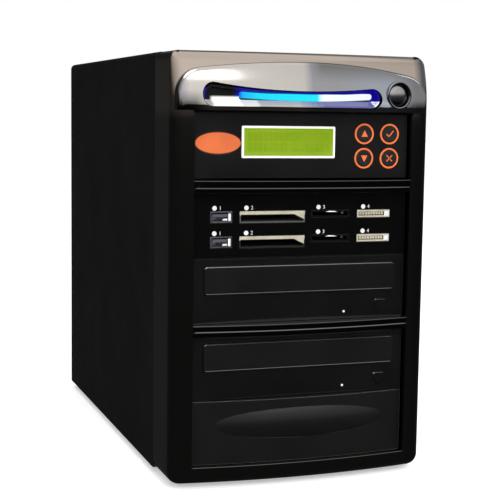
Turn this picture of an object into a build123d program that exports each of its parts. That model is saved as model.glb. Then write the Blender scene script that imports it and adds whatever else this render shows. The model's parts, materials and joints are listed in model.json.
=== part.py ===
from build123d import *
from math import asin, cos, degrees, radians, sin, sqrt
import os

# Disc duplicator tower: steel case, bowed plastic front with a lit brow, five half-height bays
# (controller, card reader, two optical drives, blank cover), power supply and fan at the back.
# X runs to the right seen from the front, Y to the back, Z up, and the origin is the middle of
# the footprint on the floor.

os.makedirs("parts", exist_ok=True)

# ---- driving dimensions, mm ----

# whole tower
overall_depth = 339.0
case_side_room = 16.5
case_height = 277.0
foot_height = 5.0
sheet = 1.0
cover_bend = 4.0
flange = 12.0
lip_width = 9.0
lip_screw_heights = (40.0, 150.0, 262.0)
cage_depth = 110.0
cage_flange = 9.0
cage_slot_length = 9.0
cage_window_width = 7.0
cage_window_height = 20.0
cage_window_pitch = 12.0
cage_windows = 4
wire_hole_x = 55.0
wire_hole_radius = 7.0
wire_z = 259.0
slip = 0.15

# front: how far things stand ahead of the faceplates
bow_reach = 10.5
bow_fall = 5.5
brow_reach = 16.5
bezel_depth = 38.0
bezel_wall = 3.0
bezel_seam = 0.4
bezel_corner = 9.0
bezel_top_round = 6.0
bezel_chin_round = 8.0
chin_drop = 1.8
collar_wall = 2.0
hook_width = 9.0
hook_thick = 1.8
hook_root = 10.0
hook_reach = 4.0
hook_barb = 1.0
hook_slack = 0.2
hook_heights = (40.0, 143.0, 262.0)

# bays, from the bottom: blank cover, drive 2, lower bar, drive 1, reader, upper bar, controller
plate_overlap = 1.0
plate_thick = 3.0
plate_gap = 0.5
bay_pitch = 42.3
bay_floor = 15.3
lower_bar = 7.8
upper_bar = 9.2
opening_side_gap = 1.0
unit_width = 146.0
unit_side_gap = 0.2
unit_height_gap = 1.3
unit_depth = 150.0

# brow, its slot, light and button
brow_side_inset = 5.5
brow_peak = 276.0
brow_crown_radius = 366.0
brow_end_round = 16.0
brow_lip = 0.7
brow_apex_rise = 7.0
brow_top_step = 0.8
brow_foot_step = 3.2
brow_edge_round = 2.5
slot_centre_x = -11.6
slot_length = 120.0
slot_end_height = 13.4
slot_mid_height = 9.8
slot_end_run = 7.0
slot_above_lip = 2.6
liner_fit = 0.15
liner_wall = 1.2
liner_front = 3.6
liner_floor_at = -2.0
liner_back = -5.0
liner_flange = 1.2
ledge_height = 3.9
light_length = 91.0
light_height = 3.8
light_centre_x = -1.5
light_rise = 4.3
light_proud = 0.8
light_back_gap = 2.0
light_fit = 0.1
light_board_height = 9.0
light_board_length = 97.0
board_thick = 1.6

button_x = 60.8
button_above_lip = 11.4
rim_radius = 9.2
rim_width = 1.5
rim_proud = 0.7
rim_root = 2.0
power_clearance = 0.3
power_shy = 0.3
power_dome = 2.2
power_travel = 2.0
power_flange = 0.8
power_flange_thick = 1.2
power_flange_gap = 0.3
power_stem_radius = 2.0
power_stem = 5.0
switch_tube_gap = 0.3
switch_tube_wall = 1.0
power_switch_depth = 9.0

# controller panel
display_left_room = 30.45
display_right_room = 51.15
display_rise = 23.3
display_frame_height = 20.6
display_border = 1.9
display_proud = 0.8
display_glass_thick = 2.6
display_fit = 0.1
display_module_margin = 2.0
display_module_thick = 7.0
key_radius = 5.3
key_clearance = 0.3
key_rim_width = 1.2
key_rim_proud = 0.5
key_proud = 0.9
key_back_gap = 0.2
key_flange = 0.7
key_flange_thick = 1.0
key_insets = (30.2, 11.9)
key_low_rise = 13.0
key_spacing_z = 16.0
key_travel = 0.8
tact_size = 6.0
tact_gap = 0.3
badge_inset = 14.6
badge_rise = 22.5
badge_width = 30.4
badge_height = 15.0
badge_thick = 0.8
badge_sink = 0.3
key_board_gap = 0.2
key_board_margin = 4.0
key_board_height = 34.0
main_board_margin = 5.0
main_board_depth = 118.0
main_board_inset = 24.0
standoff_height = 5.0
standoff_radius = 2.4
standoff_inset = 6.0
chip_size = 22.0
chip_height = 2.2
plug_count = 5
plug_width = 14.0
plug_depth = 8.0
plug_height = 9.0
plug_pitch = 22.0

# card reader
row_top = 14.1
row_pitch = 16.2
row_board_gap = 0.1
socket_sink = 0.3
socket_x = -55.4
wide_x = -20.5
small_x = 20.05
stick_x = 51.1
port_width = 14.6
port_height = 7.2
port_wall = 0.8
port_depth = 15.0
tongue_width = 11.0
tongue_thick = 1.9
wide_width = 45.0
wide_height = 7.6
wide_roof = 2.2
wide_floor = 0.8
wide_depth = 38.0
small_width = 26.6
small_height = 4.4
small_wall = 0.9
small_depth = 30.0
stick_width = 23.6
stick_height = 5.0
stick_wall = 1.2
stick_depth = 28.0
socket_gap = 0.2
reader_light_radius = 1.5
reader_light_rise = 2.2
reader_light_columns = (-60.1, -38.6, 11.4, 43.4)
reader_board_depth = 70.0
reader_board_gap = 0.2
light_hole_fit = 0.05

# optical drive
drive_case_depth = 165.0
drive_plate_thick = 5.0
door_side = 7.0
door_height = 18.4
door_rise = 19.0
door_gap = 0.35
door_proud = 1.5
door_thick = 4.5
door_corner = 2.2
door_edge = 1.0
tray_side = 2.5
tray_rise = 21.5
tray_height = 9.0
tray_length = 150.0
disc_well_radius = 60.6
disc_well_depth = 3.6
small_disc_radius = 40.8
small_disc_depth = 1.4
tray_wall = 1.6
disc_y = 72.0
hub_slot_width = 38.0
hub_radius = 14.5
hub_rise = 29.0
hub_cap_height = 3.0
hub_nose_radius = 7.4
hub_nose_taper = 20.0
hub_lift = 0.3
spindle_radius = 1.5
spindle_fit = 0.05
motor_radius = 13.0
motor_height = 6.0
deck_side_gap = 1.5
deck_rise = 3.0
deck_thick = 3.0
deck_gap = 0.3
rail_thick = 4.0
pickup_width = 26.0
pickup_length = 34.0
pickup_height = 5.0
eject_x = 57.2
eject_rise = 8.2
eject_width = 10.4
eject_height = 8.4
eject_gap = 0.3
eject_proud = 1.0
eject_length = 6.0
eject_round = 1.2
eject_switch_width = 12.0
eject_switch_height = 12.0
eject_switch_depth = 6.0
eject_travel = 1.2
drive_light_x = 31.0
drive_light_rise = 4.9
drive_light_radius = 1.2

# blank cover
blank_bow = 6.0
swell_width = 120.0
swell_height = 20.0
swell_reach = 3.0
swell_rise = 25.7
blank_skirt = 18.0
blank_skirt_wall = 1.5
blank_edge_reach = 0.5

# power supply, fans, inlet and switch
supply_side_room = 14.5
supply_fan_room = 2.0
supply_depth = 140.0
supply_lift = 0.5
supply_window_margin = 2.0
supply_window_side = 12.0
supply_screw_inset = 6.0
fan_size = 80.0
fan_depth = 25.0
fan_bore = 38.0
fan_corner = 4.0
fan_hole_spacing = 71.5
fan_hole_radius = 2.2
fan_hub_radius = 19.0
fan_tip_gap = 1.5
fan_blades = 7
fan_blade_thick = 1.4
fan_blade_chord = 17.0
fan_blade_pitch = 52.0
fan_end_gap = 1.0
fan_stator_radius = 17.0
fan_shaft_radius = 1.5
fan_shaft_fit = 0.05
fan_strut_width = 4.0
fan_strut_thick = 3.0
supply_fan_x = -22.0
case_fan_z = 168.0
guard_wire = 0.8
guard_rings = (12.0, 20.0, 28.0, 36.0)
guard_ear_radius = 4.4
guard_ear_thick = 0.8
fan_screw_radius = 2.0
fan_screw_head_radius = 3.4
fan_screw_length = 14.0
inlet_x = 46.0
inlet_rise = 26.0
inlet_plate_rise = 45.0
inlet_plate_height = 66.0
inlet_plate_round = 2.0
inlet_flange_width = 31.0
inlet_body_width = 27.0
inlet_body_height = 19.5
inlet_hollow_width = 23.6
inlet_hollow_height = 15.6
inlet_depth = 18.0
inlet_flange_thick = 1.8
pin_width = 2.0
pin_height = 4.0
pin_spacing = 7.0
pin_length = 13.0
pin_lift = 4.0
rocker_rise = 62.0
rocker_width = 13.0
rocker_height = 19.0
rocker_frame = 2.6
rocker_depth = 14.0
rocker_gap = 0.35
rocker_tilt = 9.0
rocker_half_height = 8.8
rocker_pivot_depth = 4.0
rocker_face = 5.6
rocker_lift = 0.8
rocker_root = 3.0
rocker_pivot_radius = 1.5
rocker_pivot_fit = 0.05
vent_slot_width = 3.0
vent_slot_length = 34.0
vent_slot_count = 9
vent_pitch = 7.0
vent_z = 240.0
supply_vent_count = 16
supply_vent_pitch = 8.0
supply_vent_length = 60.0

# fasteners and feet
screw_radius = 1.75
screw_head_radius = 3.6
screw_head = 2.0
screw_length = 6.0
screw_slack = 0.25
slot_in_head = 0.9
drive_screw_depths = (52.0, 131.5)
drive_screw_rise = 10.0
drive_screw_length = 5.0
foot_radius = 9.0
foot_inset_x = 24.0
foot_inset_front = 70.0
foot_inset_rear = 26.0
foot_stem_radius = 3.0
foot_stem = 1.3
foot_stem_slack = 0.1
foot_chamfer = 1.0

# ---- worked out from the above ----

front_y = -overall_depth / 2
bay_y = front_y + brow_reach
rear_y = overall_depth / 2 - screw_head
panel_y = rear_y - sheet
case_bottom = foot_height
case_top = case_bottom + case_height
half_width = unit_width / 2 + case_side_room
brow_half_width = half_width - brow_side_inset
plate_width = unit_width + 2 * plate_overlap
door_width = plate_width - 2 * door_side
tray_width = door_width - 2 * tray_side
deck_width = unit_width - 2 * sheet - 2 * deck_side_gap
key_board_width = unit_width - 2 * key_board_margin
main_board_width = unit_width - 2 * main_board_margin
badge_x = badge_inset - unit_width / 2
display_x = (display_left_room - display_right_room) / 2
display_frame_width = unit_width - display_left_room - display_right_room
key_columns = tuple(unit_width / 2 - inset for inset in key_insets)
supply_width = 2 * (half_width - supply_side_room)
supply_height = fan_size + 2 * (sheet + supply_fan_room)
bezel_back = bay_y + bezel_depth
case_front = bezel_back + bezel_seam
chin_z = case_bottom - chin_drop

blank_z = bay_floor
drive_2_z = blank_z + bay_pitch
drive_1_z = drive_2_z + bay_pitch + lower_bar
reader_z = drive_1_z + bay_pitch
control_z = reader_z + bay_pitch + upper_bar
recess_top = control_z + bay_pitch
plate_height = bay_pitch - plate_gap
unit_height = bay_pitch - unit_height_gap
opening_half = plate_width / 2 + opening_side_gap
bay_pairs = ((blank_z, drive_2_z + bay_pitch), (drive_1_z, reader_z + bay_pitch), (control_z, recess_top))

bow_chord = opening_half
bow_radius = (bow_chord ** 2 + bow_fall ** 2) / (2 * bow_fall)
bow_front = bay_y - bow_reach
bow_axis_y = bow_front + bow_radius
brow_z = recess_top + brow_lip


def bow_y(x, ahead=0.0):
    """Front surface of the bowed face at x, moved ahead by some millimetres."""
    return bow_axis_y - sqrt((bow_radius + ahead) ** 2 - x ** 2)


def keep(builder, name):
    """Label a finished piece and write its file."""
    builder.part.label = name
    export_step(builder.part, f"parts/{name}.step")


def facing(y):
    """Plane at y that looks to the front, with X across and Z up."""
    return Plane.XZ.offset(-y)


def panel_block(x, z, width, height, y_front, depth, corner=0.0):
    """Plain upright block centred on x and z, from y_front backwards."""
    with BuildPart() as block:
        with BuildSketch(facing(y_front)):
            with Locations((x, z)):
                if corner > 0:
                    RectangleRounded(width, height, corner)
                else:
                    Rectangle(width, height)
        extrude(amount=-depth)
    return block.part


# ---- front bezel ----

def bezel_block(inset, bottom, top, back, top_round, bottom_round):
    """Solid with the bezel's plan, set in by a wall thickness."""
    half = half_width - inset
    end_y = bow_y(half, -inset)
    with BuildPart() as block:
        with BuildSketch(Plane.XY.offset(bottom)) as plan:
            with BuildLine():
                ThreePointArc((-half, end_y), (0, bow_front + inset), (half, end_y))
                Polyline((half, end_y), (half, back), (-half, back), (-half, end_y))
            make_face()
            fillet(plan.vertices().group_by(Axis.Y)[0], bezel_corner - inset)
        extrude(amount=top - bottom)
        fillet(block.faces().sort_by(Axis.Z)[-1].edges().sort_by(Axis.Y)[:-1], top_round)
        fillet(block.faces().sort_by(Axis.Z)[0].edges().sort_by(Axis.Y)[:-1], bottom_round)
    return block.part


def brow_outline(inset):
    """Outline of the brow seen from the front."""
    half = brow_half_width - inset
    peak = brow_peak - inset
    foot = brow_z + inset
    crown = brow_crown_radius - inset
    shoulder = peak - crown + sqrt(crown ** 2 - half ** 2)
    with BuildSketch() as outline:
        with BuildLine():
            ThreePointArc((-half, shoulder), (0, peak), (half, shoulder))
            Polyline((half, shoulder), (half, foot), (-half, foot), (-half, shoulder))
        make_face()
        fillet(outline.vertices().group_by(Axis.Y)[-1], brow_end_round - inset)
    return outline.sketch


def smile_outline(length, end_height, mid_height, floor):
    """Slot outline: flat floor, rounded ends, and a roof that dips in the middle."""
    reach = length / 2
    run = reach - slot_end_run
    with BuildSketch() as outline:
        with BuildLine():
            Line((-run, floor), (run, floor))
            ThreePointArc((run, floor), (reach, floor + end_height / 2), (run, floor + end_height))
            ThreePointArc((run, floor + end_height), (0, floor + mid_height), (-run, floor + end_height))
            ThreePointArc((-run, floor + end_height), (-reach, floor + end_height / 2), (-run, floor))
        make_face()
    return outline.sketch


brow_turn = degrees(asin((brow_half_width + 2) / bow_radius))
brow_start = Plane(
    origin=(0, bow_axis_y, 0),
    x_dir=(-sin(radians(brow_turn)), -cos(radians(brow_turn)), 0),
    z_dir=(-cos(radians(brow_turn)), sin(radians(brow_turn)), 0),
)
brow_apex = brow_reach - bow_reach


def brow_body(inset, root):
    """Swelling of the brow, turned about the axis of the bow and cut to its outline."""
    low = brow_z + inset
    high = brow_peak + 1 - inset
    with BuildPart() as body:
        with BuildSketch(brow_start):
            with BuildLine():
                foot = (bow_radius + brow_foot_step - inset, low)
                apex = (bow_radius + brow_apex - inset, brow_z + brow_apex_rise)
                crest = (bow_radius + brow_top_step - inset, high)
                TangentArc(apex, foot, tangent=(0, -1))
                TangentArc(apex, crest, tangent=(0, 1))
                Polyline(crest, (bow_radius - root, high), (bow_radius - root, low), foot)
            make_face()
        revolve(axis=Axis((0, bow_axis_y, 0), (0, 0, 1)), revolution_arc=2 * brow_turn)
        with BuildSketch(facing(bay_y)):
            add(brow_outline(inset))
        extrude(amount=2 * brow_reach, mode=Mode.INTERSECT)
        swell = body.faces().filter_by(GeomType.TORUS)
        rim = [edge for edge in swell.edges() if sum(edge in face.edges() for face in swell) == 1]
        fillet([edge for edge in rim if edge.center().Z > brow_z + 1], brow_edge_round)
    return body.part


slot_floor = brow_z + slot_above_lip
button_z = brow_z + button_above_lip
button_angle = asin(button_x / bow_radius)
button_normal = Vector(sin(button_angle), -cos(button_angle), 0)
button_foot = Vector(button_x, bow_y(button_x), button_z)


def button_plane(ahead):
    """Plane square to the power button's axis, ahead of the bow by some millimetres."""
    return Plane(origin=button_foot + button_normal * ahead, z_dir=button_normal)


with BuildPart() as bezel_cavity:
    add(bezel_block(bezel_wall, chin_z + bezel_wall, case_top - bezel_wall, bezel_back,
                    bezel_top_round - bezel_wall, bezel_chin_round - bezel_wall))
    for low, high in bay_pairs:
        with BuildSketch(facing(bay_y + drive_plate_thick)):
            with Locations((0, (low + high) / 2)):
                Rectangle(2 * (opening_half + collar_wall), high - low + 2 * collar_wall)
        extrude(amount=2 * brow_reach, mode=Mode.SUBTRACT)

reach_through = bezel_back - front_y + 1

with BuildPart() as front_bezel:
    add(bezel_block(0, chin_z, case_top, bezel_back, bezel_top_round, bezel_chin_round))
    add(brow_body(0, bezel_wall))
    with BuildSketch(button_plane(rim_root)):
        Circle(rim_radius)
    extrude(amount=brow_apex + rim_proud - rim_root)
    add(bezel_cavity.part, mode=Mode.SUBTRACT)
    for low, high in bay_pairs:
        with BuildSketch(facing(bezel_back)):
            with Locations((0, (low + high) / 2)):
                Rectangle(2 * opening_half, high - low)
        extrude(amount=reach_through, mode=Mode.SUBTRACT)
    with BuildSketch(facing(bezel_back)):
        with Locations((slot_centre_x, 0)):
            add(smile_outline(slot_length, slot_end_height, slot_mid_height, slot_floor))
    extrude(amount=reach_through, mode=Mode.SUBTRACT)
    with BuildSketch(button_plane(-2 * bezel_wall)):
        Circle(rim_radius - rim_width)
    extrude(amount=4 * bezel_wall + brow_apex, mode=Mode.SUBTRACT)
    for side in (-1, 1):
        for z in hook_heights:
            wall_x = half_width - bezel_wall
            with BuildSketch(Plane.XY.offset(z - hook_width / 2)):
                with BuildLine():
                    Polyline(
                        (side * (wall_x + hook_slack), bezel_back - hook_root),
                        (side * (wall_x + hook_slack), bezel_back + hook_reach),
                        (side * (wall_x - hook_thick), bezel_back + hook_reach),
                        (side * (wall_x - hook_thick - hook_barb), bezel_back + sheet + hook_slack),
                        (side * (wall_x - hook_thick), bezel_back + sheet + hook_slack),
                        (side * (wall_x - hook_thick), bezel_back - hook_root),
                        close=True,
                    )
                make_face()
            extrude(amount=hook_width)
keep(front_bezel, "front_bezel")

# ---- lit slot and power button ----

def bow_shell(inner, outer, low, high):
    """Band that follows the bow between two distances ahead of it."""
    with BuildPart() as band:
        with BuildSketch(brow_start):
            with BuildLine():
                Polyline(
                    (bow_radius + inner, low), (bow_radius + outer, low),
                    (bow_radius + outer, high), (bow_radius + inner, high), close=True,
                )
            make_face()
        revolve(axis=Axis((0, bow_axis_y, 0), (0, 0, 1)), revolution_arc=2 * brow_turn)
    return band.part


def smile_prism(inset, inner, outer):
    """Slot's outline set in by a clearance, between two distances ahead of the bow."""
    with BuildPart() as prism:
        add(bow_shell(inner, outer, brow_z - liner_flange, brow_peak))
        with BuildSketch(facing(bezel_back)):
            with Locations((slot_centre_x, 0)):
                add(smile_outline(slot_length - 2 * inset, slot_end_height - 2 * inset,
                                  slot_mid_height - 2 * inset, slot_floor + inset))
        extrude(amount=reach_through, mode=Mode.INTERSECT)
    return prism.part


def light_block(fit, y_back):
    """Light bar's outline, with a clearance, from a plane behind it to well ahead of it."""
    return panel_block(light_centre_x, slot_floor + light_rise + light_height / 2, light_length + 2 * fit,
                       light_height + 2 * fit, y_back, -reach_through,
                       light_height / 2 + fit - 0.01)


light_back_y = bay_y - light_back_gap

with BuildPart() as slot_liner:
    add(smile_prism(liner_fit, liner_back, liner_front))
    add(smile_prism(-liner_flange, liner_back, -bezel_wall))
    with BuildPart(mode=Mode.PRIVATE) as hollow:
        with BuildSketch(brow_start):
            with BuildLine():
                floor_z = slot_floor + liner_fit + liner_wall / 2
                Polyline(
                    (bow_radius + liner_floor_at, slot_floor + ledge_height),
                    (bow_radius + liner_front + 1, floor_z),
                    (bow_radius + liner_front + 1, brow_peak),
                    (bow_radius + liner_floor_at, brow_peak),
                    close=True,
                )
            make_face()
        revolve(axis=Axis((0, bow_axis_y, 0), (0, 0, 1)), revolution_arc=2 * brow_turn)
        add(smile_prism(liner_fit + liner_wall, liner_floor_at, liner_front + 1), mode=Mode.INTERSECT)
    add(hollow.part, mode=Mode.SUBTRACT)
    add(light_block(light_fit, light_back_y), mode=Mode.SUBTRACT)
keep(slot_liner, "slot_liner")

with BuildPart() as light_bar:
    add(light_block(0, light_back_y))
    add(bow_shell(-brow_reach, liner_floor_at + light_proud, brow_z, brow_peak), mode=Mode.INTERSECT)
keep(light_bar, "light_bar")

light_z = slot_floor + light_rise + light_height / 2
with BuildPart() as light_board:
    add(panel_block(light_centre_x, light_z, light_board_length, light_board_height,
                    light_back_y, board_thick))
keep(light_board, "light_board")

cap_radius = rim_radius - rim_width - power_clearance
power_front = brow_apex + rim_proud - power_shy - power_dome
flange_front = -bezel_wall - power_flange_gap
flange_back = flange_front - power_flange_thick
stem_back = flange_back - power_stem
with BuildPart() as power_button:
    with BuildSketch(button_plane(flange_front)):
        Circle(cap_radius)
    extrude(amount=power_front - flange_front)
    with BuildSketch(button_plane(flange_back)):
        Circle(rim_radius - rim_width + power_flange)
    extrude(amount=power_flange_thick)
    with BuildSketch(button_plane(stem_back)):
        Circle(power_stem_radius)
    extrude(amount=power_stem)
    dome_radius = (cap_radius ** 2 + power_dome ** 2) / (2 * power_dome)
    with BuildPart(mode=Mode.PRIVATE) as dome:
        with BuildSketch(button_plane(power_front)):
            Circle(cap_radius)
        extrude(amount=power_dome)
        with Locations(button_plane(power_front + power_dome - dome_radius)):
            Sphere(dome_radius, mode=Mode.INTERSECT)
    add(dome.part)
keep(power_button, "power_button")

tube_radius = rim_radius - rim_width + power_flange + switch_tube_gap
switch_front = stem_back - power_travel - power_flange_gap
with BuildPart() as power_switch:
    with BuildSketch(button_plane(switch_front - power_switch_depth)):
        Circle(tube_radius + switch_tube_wall)
    extrude(amount=power_switch_depth - switch_front - bezel_wall - power_flange_gap / 2)
    with BuildSketch(button_plane(switch_front)):
        Circle(tube_radius)
    extrude(amount=power_switch_depth - switch_front, mode=Mode.SUBTRACT)
keep(power_switch, "power_switch")

# ---- controller unit ----

display_z = control_z + display_rise
badge_z = control_z + badge_rise
key_rows = (control_z + key_low_rise + key_spacing_z, control_z + key_low_rise)
key_places = [(x, z) for x in key_columns for z in key_rows]
key_names = ("key_up", "key_down", "key_accept", "key_cancel")
panel_back = bay_y + plate_thick
key_board_y = panel_back + display_module_thick + key_board_gap
unit_bottom_gap = unit_height_gap / 2


def faceplate(z, thick):
    """Plain faceplate of one bay."""
    return panel_block(0, z + bay_pitch / 2, plate_width, plate_height, bay_y, thick)


with BuildPart() as controller_panel:
    add(faceplate(control_z, plate_thick))
    add(panel_block(display_x, display_z, display_frame_width + 2 * display_fit,
                    display_frame_height + 2 * display_fit, bay_y, plate_thick), mode=Mode.SUBTRACT)
    with BuildSketch(facing(bay_y)):
        with Locations(key_places):
            Circle(key_radius + key_clearance)
    extrude(amount=-plate_thick, mode=Mode.SUBTRACT)
    with BuildSketch(facing(bay_y)):
        with Locations(key_places):
            Circle(key_radius + key_clearance + key_rim_width)
    extrude(amount=-key_rim_proud, mode=Mode.SUBTRACT)
    with BuildSketch(facing(bay_y)):
        with Locations((badge_x, badge_z)):
            Ellipse(badge_width / 2, badge_height / 2)
    extrude(amount=-badge_sink, mode=Mode.SUBTRACT)
keep(controller_panel, "controller_panel")

with BuildPart() as plain_badge:
    with BuildSketch(facing(bay_y + badge_sink)):
        with Locations((badge_x, badge_z)):
            Ellipse(badge_width / 2, badge_height / 2)
    extrude(amount=badge_thick)
    fillet(plain_badge.faces().sort_by(Axis.Y)[0].edges(), badge_thick / 2)
keep(plain_badge, "plain_badge")

with BuildPart() as display_frame:
    add(panel_block(display_x, display_z, display_frame_width, display_frame_height,
                    bay_y - display_proud, plate_thick + display_proud, display_border / 2))
    add(panel_block(display_x, display_z, display_frame_width - 2 * display_border,
                    display_frame_height - 2 * display_border, bay_y - display_proud,
                    plate_thick + display_proud), mode=Mode.SUBTRACT)
keep(display_frame, "display_frame")

with BuildPart() as display_glass:
    add(panel_block(display_x, display_z, display_frame_width - 2 * display_border - 2 * display_fit,
                    display_frame_height - 2 * display_border - 2 * display_fit,
                    panel_back - display_glass_thick, display_glass_thick))
keep(display_glass, "display_glass")

with BuildPart() as display_module:
    add(panel_block(display_x, display_z, display_frame_width + 2 * display_module_margin,
                    display_frame_height + 2 * display_module_margin, panel_back, display_module_thick))
keep(display_module, "display_module")

with BuildPart() as key_rims:
    with BuildSketch(facing(bay_y + key_rim_proud)):
        with Locations(key_places):
            Circle(key_radius + key_clearance + key_rim_width)
            Circle(key_radius + key_clearance, mode=Mode.SUBTRACT)
    extrude(amount=2 * key_rim_proud)
keep(key_rims, "key_rims")

for name, (x, z) in zip(key_names, key_places):
    with BuildPart() as key:
        with BuildSketch(facing(bay_y - key_proud)):
            with Locations((x, z)):
                Circle(key_radius)
        extrude(amount=-(key_proud + plate_thick + key_back_gap))
        fillet(key.faces().sort_by(Axis.Y)[0].edges(), key_proud / 2)
        with BuildSketch(facing(panel_back + key_back_gap)):
            with Locations((x, z)):
                Circle(key_radius + key_clearance + key_flange)
        extrude(amount=-key_flange_thick)
    keep(key, name)

tact_height = key_board_y - panel_back - key_back_gap - key_flange_thick - key_travel - tact_gap
key_board_z = control_z + unit_bottom_gap + sheet + key_board_height / 2
with BuildPart() as key_board:
    add(panel_block(0, key_board_z, key_board_width, key_board_height, key_board_y, board_thick))
    with BuildSketch(facing(key_board_y)):
        with Locations(key_places):
            Rectangle(tact_size, tact_size)
    extrude(amount=tact_height)
keep(key_board, "key_board")

# ---- brackets of the controller and reader units ----

screw_places_y = [bay_y + depth for depth in drive_screw_depths]
unit_half = unit_width / 2
screwed_bays = (drive_2_z, drive_1_z, reader_z, control_z)


def side_bores(z, radius, half_length):
    """Rods where the side screws of the bay at z pass, to be cut away."""
    with BuildPart() as rods:
        with BuildSketch(Plane.YZ):
            with Locations([(y, z + drive_screw_rise) for y in screw_places_y]):
                Circle(radius)
        extrude(amount=half_length, both=True)
    return rods.part


with BuildPart() as bay_brackets:
    for z in (reader_z, control_z):
        bracket_z = z + bay_pitch / 2
        add(panel_block(0, bracket_z, unit_width, unit_height, panel_back, unit_depth))
        add(panel_block(0, bracket_z + sheet, unit_width - 2 * sheet, unit_height, panel_back, unit_depth),
            mode=Mode.SUBTRACT)
        add(side_bores(z, screw_radius + screw_slack, unit_half), mode=Mode.SUBTRACT)
keep(bay_brackets, "bay_brackets")

main_board_y = bay_y + main_board_inset + main_board_depth / 2
main_board_z = control_z + unit_bottom_gap + sheet
with BuildPart() as controller_board:
    with BuildSketch(Plane.XY.offset(main_board_z + standoff_height)):
        with Locations((0, main_board_y)):
            Rectangle(main_board_width, main_board_depth)
    extrude(amount=board_thick)
    with BuildSketch(Plane.XY.offset(main_board_z)):
        with Locations((0, main_board_y)):
            with GridLocations(main_board_width - 2 * standoff_inset,
                               main_board_depth - 2 * standoff_inset, 2, 2):
                Circle(standoff_radius)
    extrude(amount=standoff_height)
    board_top = main_board_z + standoff_height + board_thick
    with BuildSketch(Plane.XY.offset(board_top)):
        with Locations((-main_board_width / 4, main_board_y)):
            Rectangle(chip_size, chip_size)
    extrude(amount=chip_height)
    with BuildSketch(Plane.XY.offset(board_top)):
        with Locations((0, main_board_y + (main_board_depth - plug_depth) / 2 - standoff_inset / 2)):
            with GridLocations(plug_pitch, 1, plug_count, 1):
                Rectangle(plug_width, plug_depth)
    extrude(amount=plug_height)
keep(controller_board, "controller_board")

# ---- card reader ----

row_tops = [reader_z + row_top + row * row_pitch for row in (0, 1)]
socket_front = bay_y + socket_sink


def row_centres(x, height):
    """Centres of one kind of socket in both rows, hung from the boards above them."""
    return [(x, top - height / 2) for top in row_tops]


socket_sizes = (
    (socket_x, port_width, port_height),
    (wide_x, wide_width, wide_height),
    (small_x, small_width, small_height),
    (stick_x, stick_width, stick_height),
)

with BuildPart() as card_reader_panel:
    add(faceplate(reader_z, plate_thick))
    for x, width, height in socket_sizes:
        with BuildSketch(facing(bay_y)):
            with Locations(row_centres(x, height)):
                Rectangle(width + 2 * socket_gap, height + 2 * socket_gap)
        extrude(amount=-plate_thick, mode=Mode.SUBTRACT)
    light_places = [(x, top + reader_light_rise) for x in reader_light_columns for top in row_tops]
    with BuildSketch(facing(bay_y)):
        with Locations(light_places):
            Circle(reader_light_radius + light_hole_fit)
    extrude(amount=-plate_thick, mode=Mode.SUBTRACT)
keep(card_reader_panel, "card_reader_panel")


def sockets(name, x, width, height, depth, walls):
    """Both sockets of one kind: open at the front, closed at the back."""
    side, roof, floor = walls
    with BuildPart() as pair:
        with BuildSketch(facing(socket_front)):
            with Locations(row_centres(x, height)):
                Rectangle(width, height)
        extrude(amount=-depth)
        with BuildSketch(facing(socket_front)):
            with Locations([(cx, cz + (floor - roof) / 2) for cx, cz in row_centres(x, height)]):
                Rectangle(width - 2 * side, height - roof - floor)
        extrude(amount=side - depth, mode=Mode.SUBTRACT)
    keep(pair, name)


sockets("port_shells", socket_x, port_width, port_height, port_depth, (port_wall, port_wall, port_wall))
sockets("wide_card_sockets", wide_x, wide_width, wide_height, wide_depth,
        (wide_floor, wide_roof, wide_floor))
sockets("small_card_sockets", small_x, small_width, small_height, small_depth,
        (small_wall, small_wall, small_wall))
sockets("stick_card_sockets", stick_x, stick_width, stick_height, stick_depth,
        (stick_wall, stick_wall, stick_wall))

with BuildPart() as port_tongues:
    with BuildSketch(facing(socket_front + port_depth - port_wall)):
        with Locations([(socket_x, z + tongue_thick / 2) for x, z in row_centres(socket_x, port_height)]):
            Rectangle(tongue_width, tongue_thick)
    extrude(amount=port_depth - 3 * port_wall)
keep(port_tongues, "port_tongues")

with BuildPart() as reader_lights:
    with BuildSketch(facing(bay_y)):
        with Locations(light_places):
            Circle(reader_light_radius)
    extrude(amount=-plate_thick)
keep(reader_lights, "reader_lights")

with BuildPart() as reader_boards:
    for top in row_tops:
        with BuildSketch(Plane.XY.offset(top + row_board_gap)):
            with Locations((0, panel_back + row_board_gap + reader_board_depth / 2)):
                Rectangle(unit_width - 2 * sheet - 2 * reader_board_gap, reader_board_depth)
        extrude(amount=board_thick)
keep(reader_boards, "reader_boards")

# ---- optical drives ----

door_z_in_bay = door_rise + door_height / 2
disc_centre_y = bay_y + disc_y
tray_front_y = bay_y + door_thick - door_proud


def triangle(x, z, grow):
    """Downward pointing rounded triangle of the eject button."""
    half = eject_width / 2 + grow
    top = z + eject_height / 2 + grow
    tip = z - eject_height / 2 - 1.6 * grow
    with BuildSketch() as shape:
        with BuildLine():
            Polyline((x - half, top), (x + half, top), (x, tip), close=True)
        make_face()
        fillet(shape.vertices(), eject_round + grow)
    return shape.sketch


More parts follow.
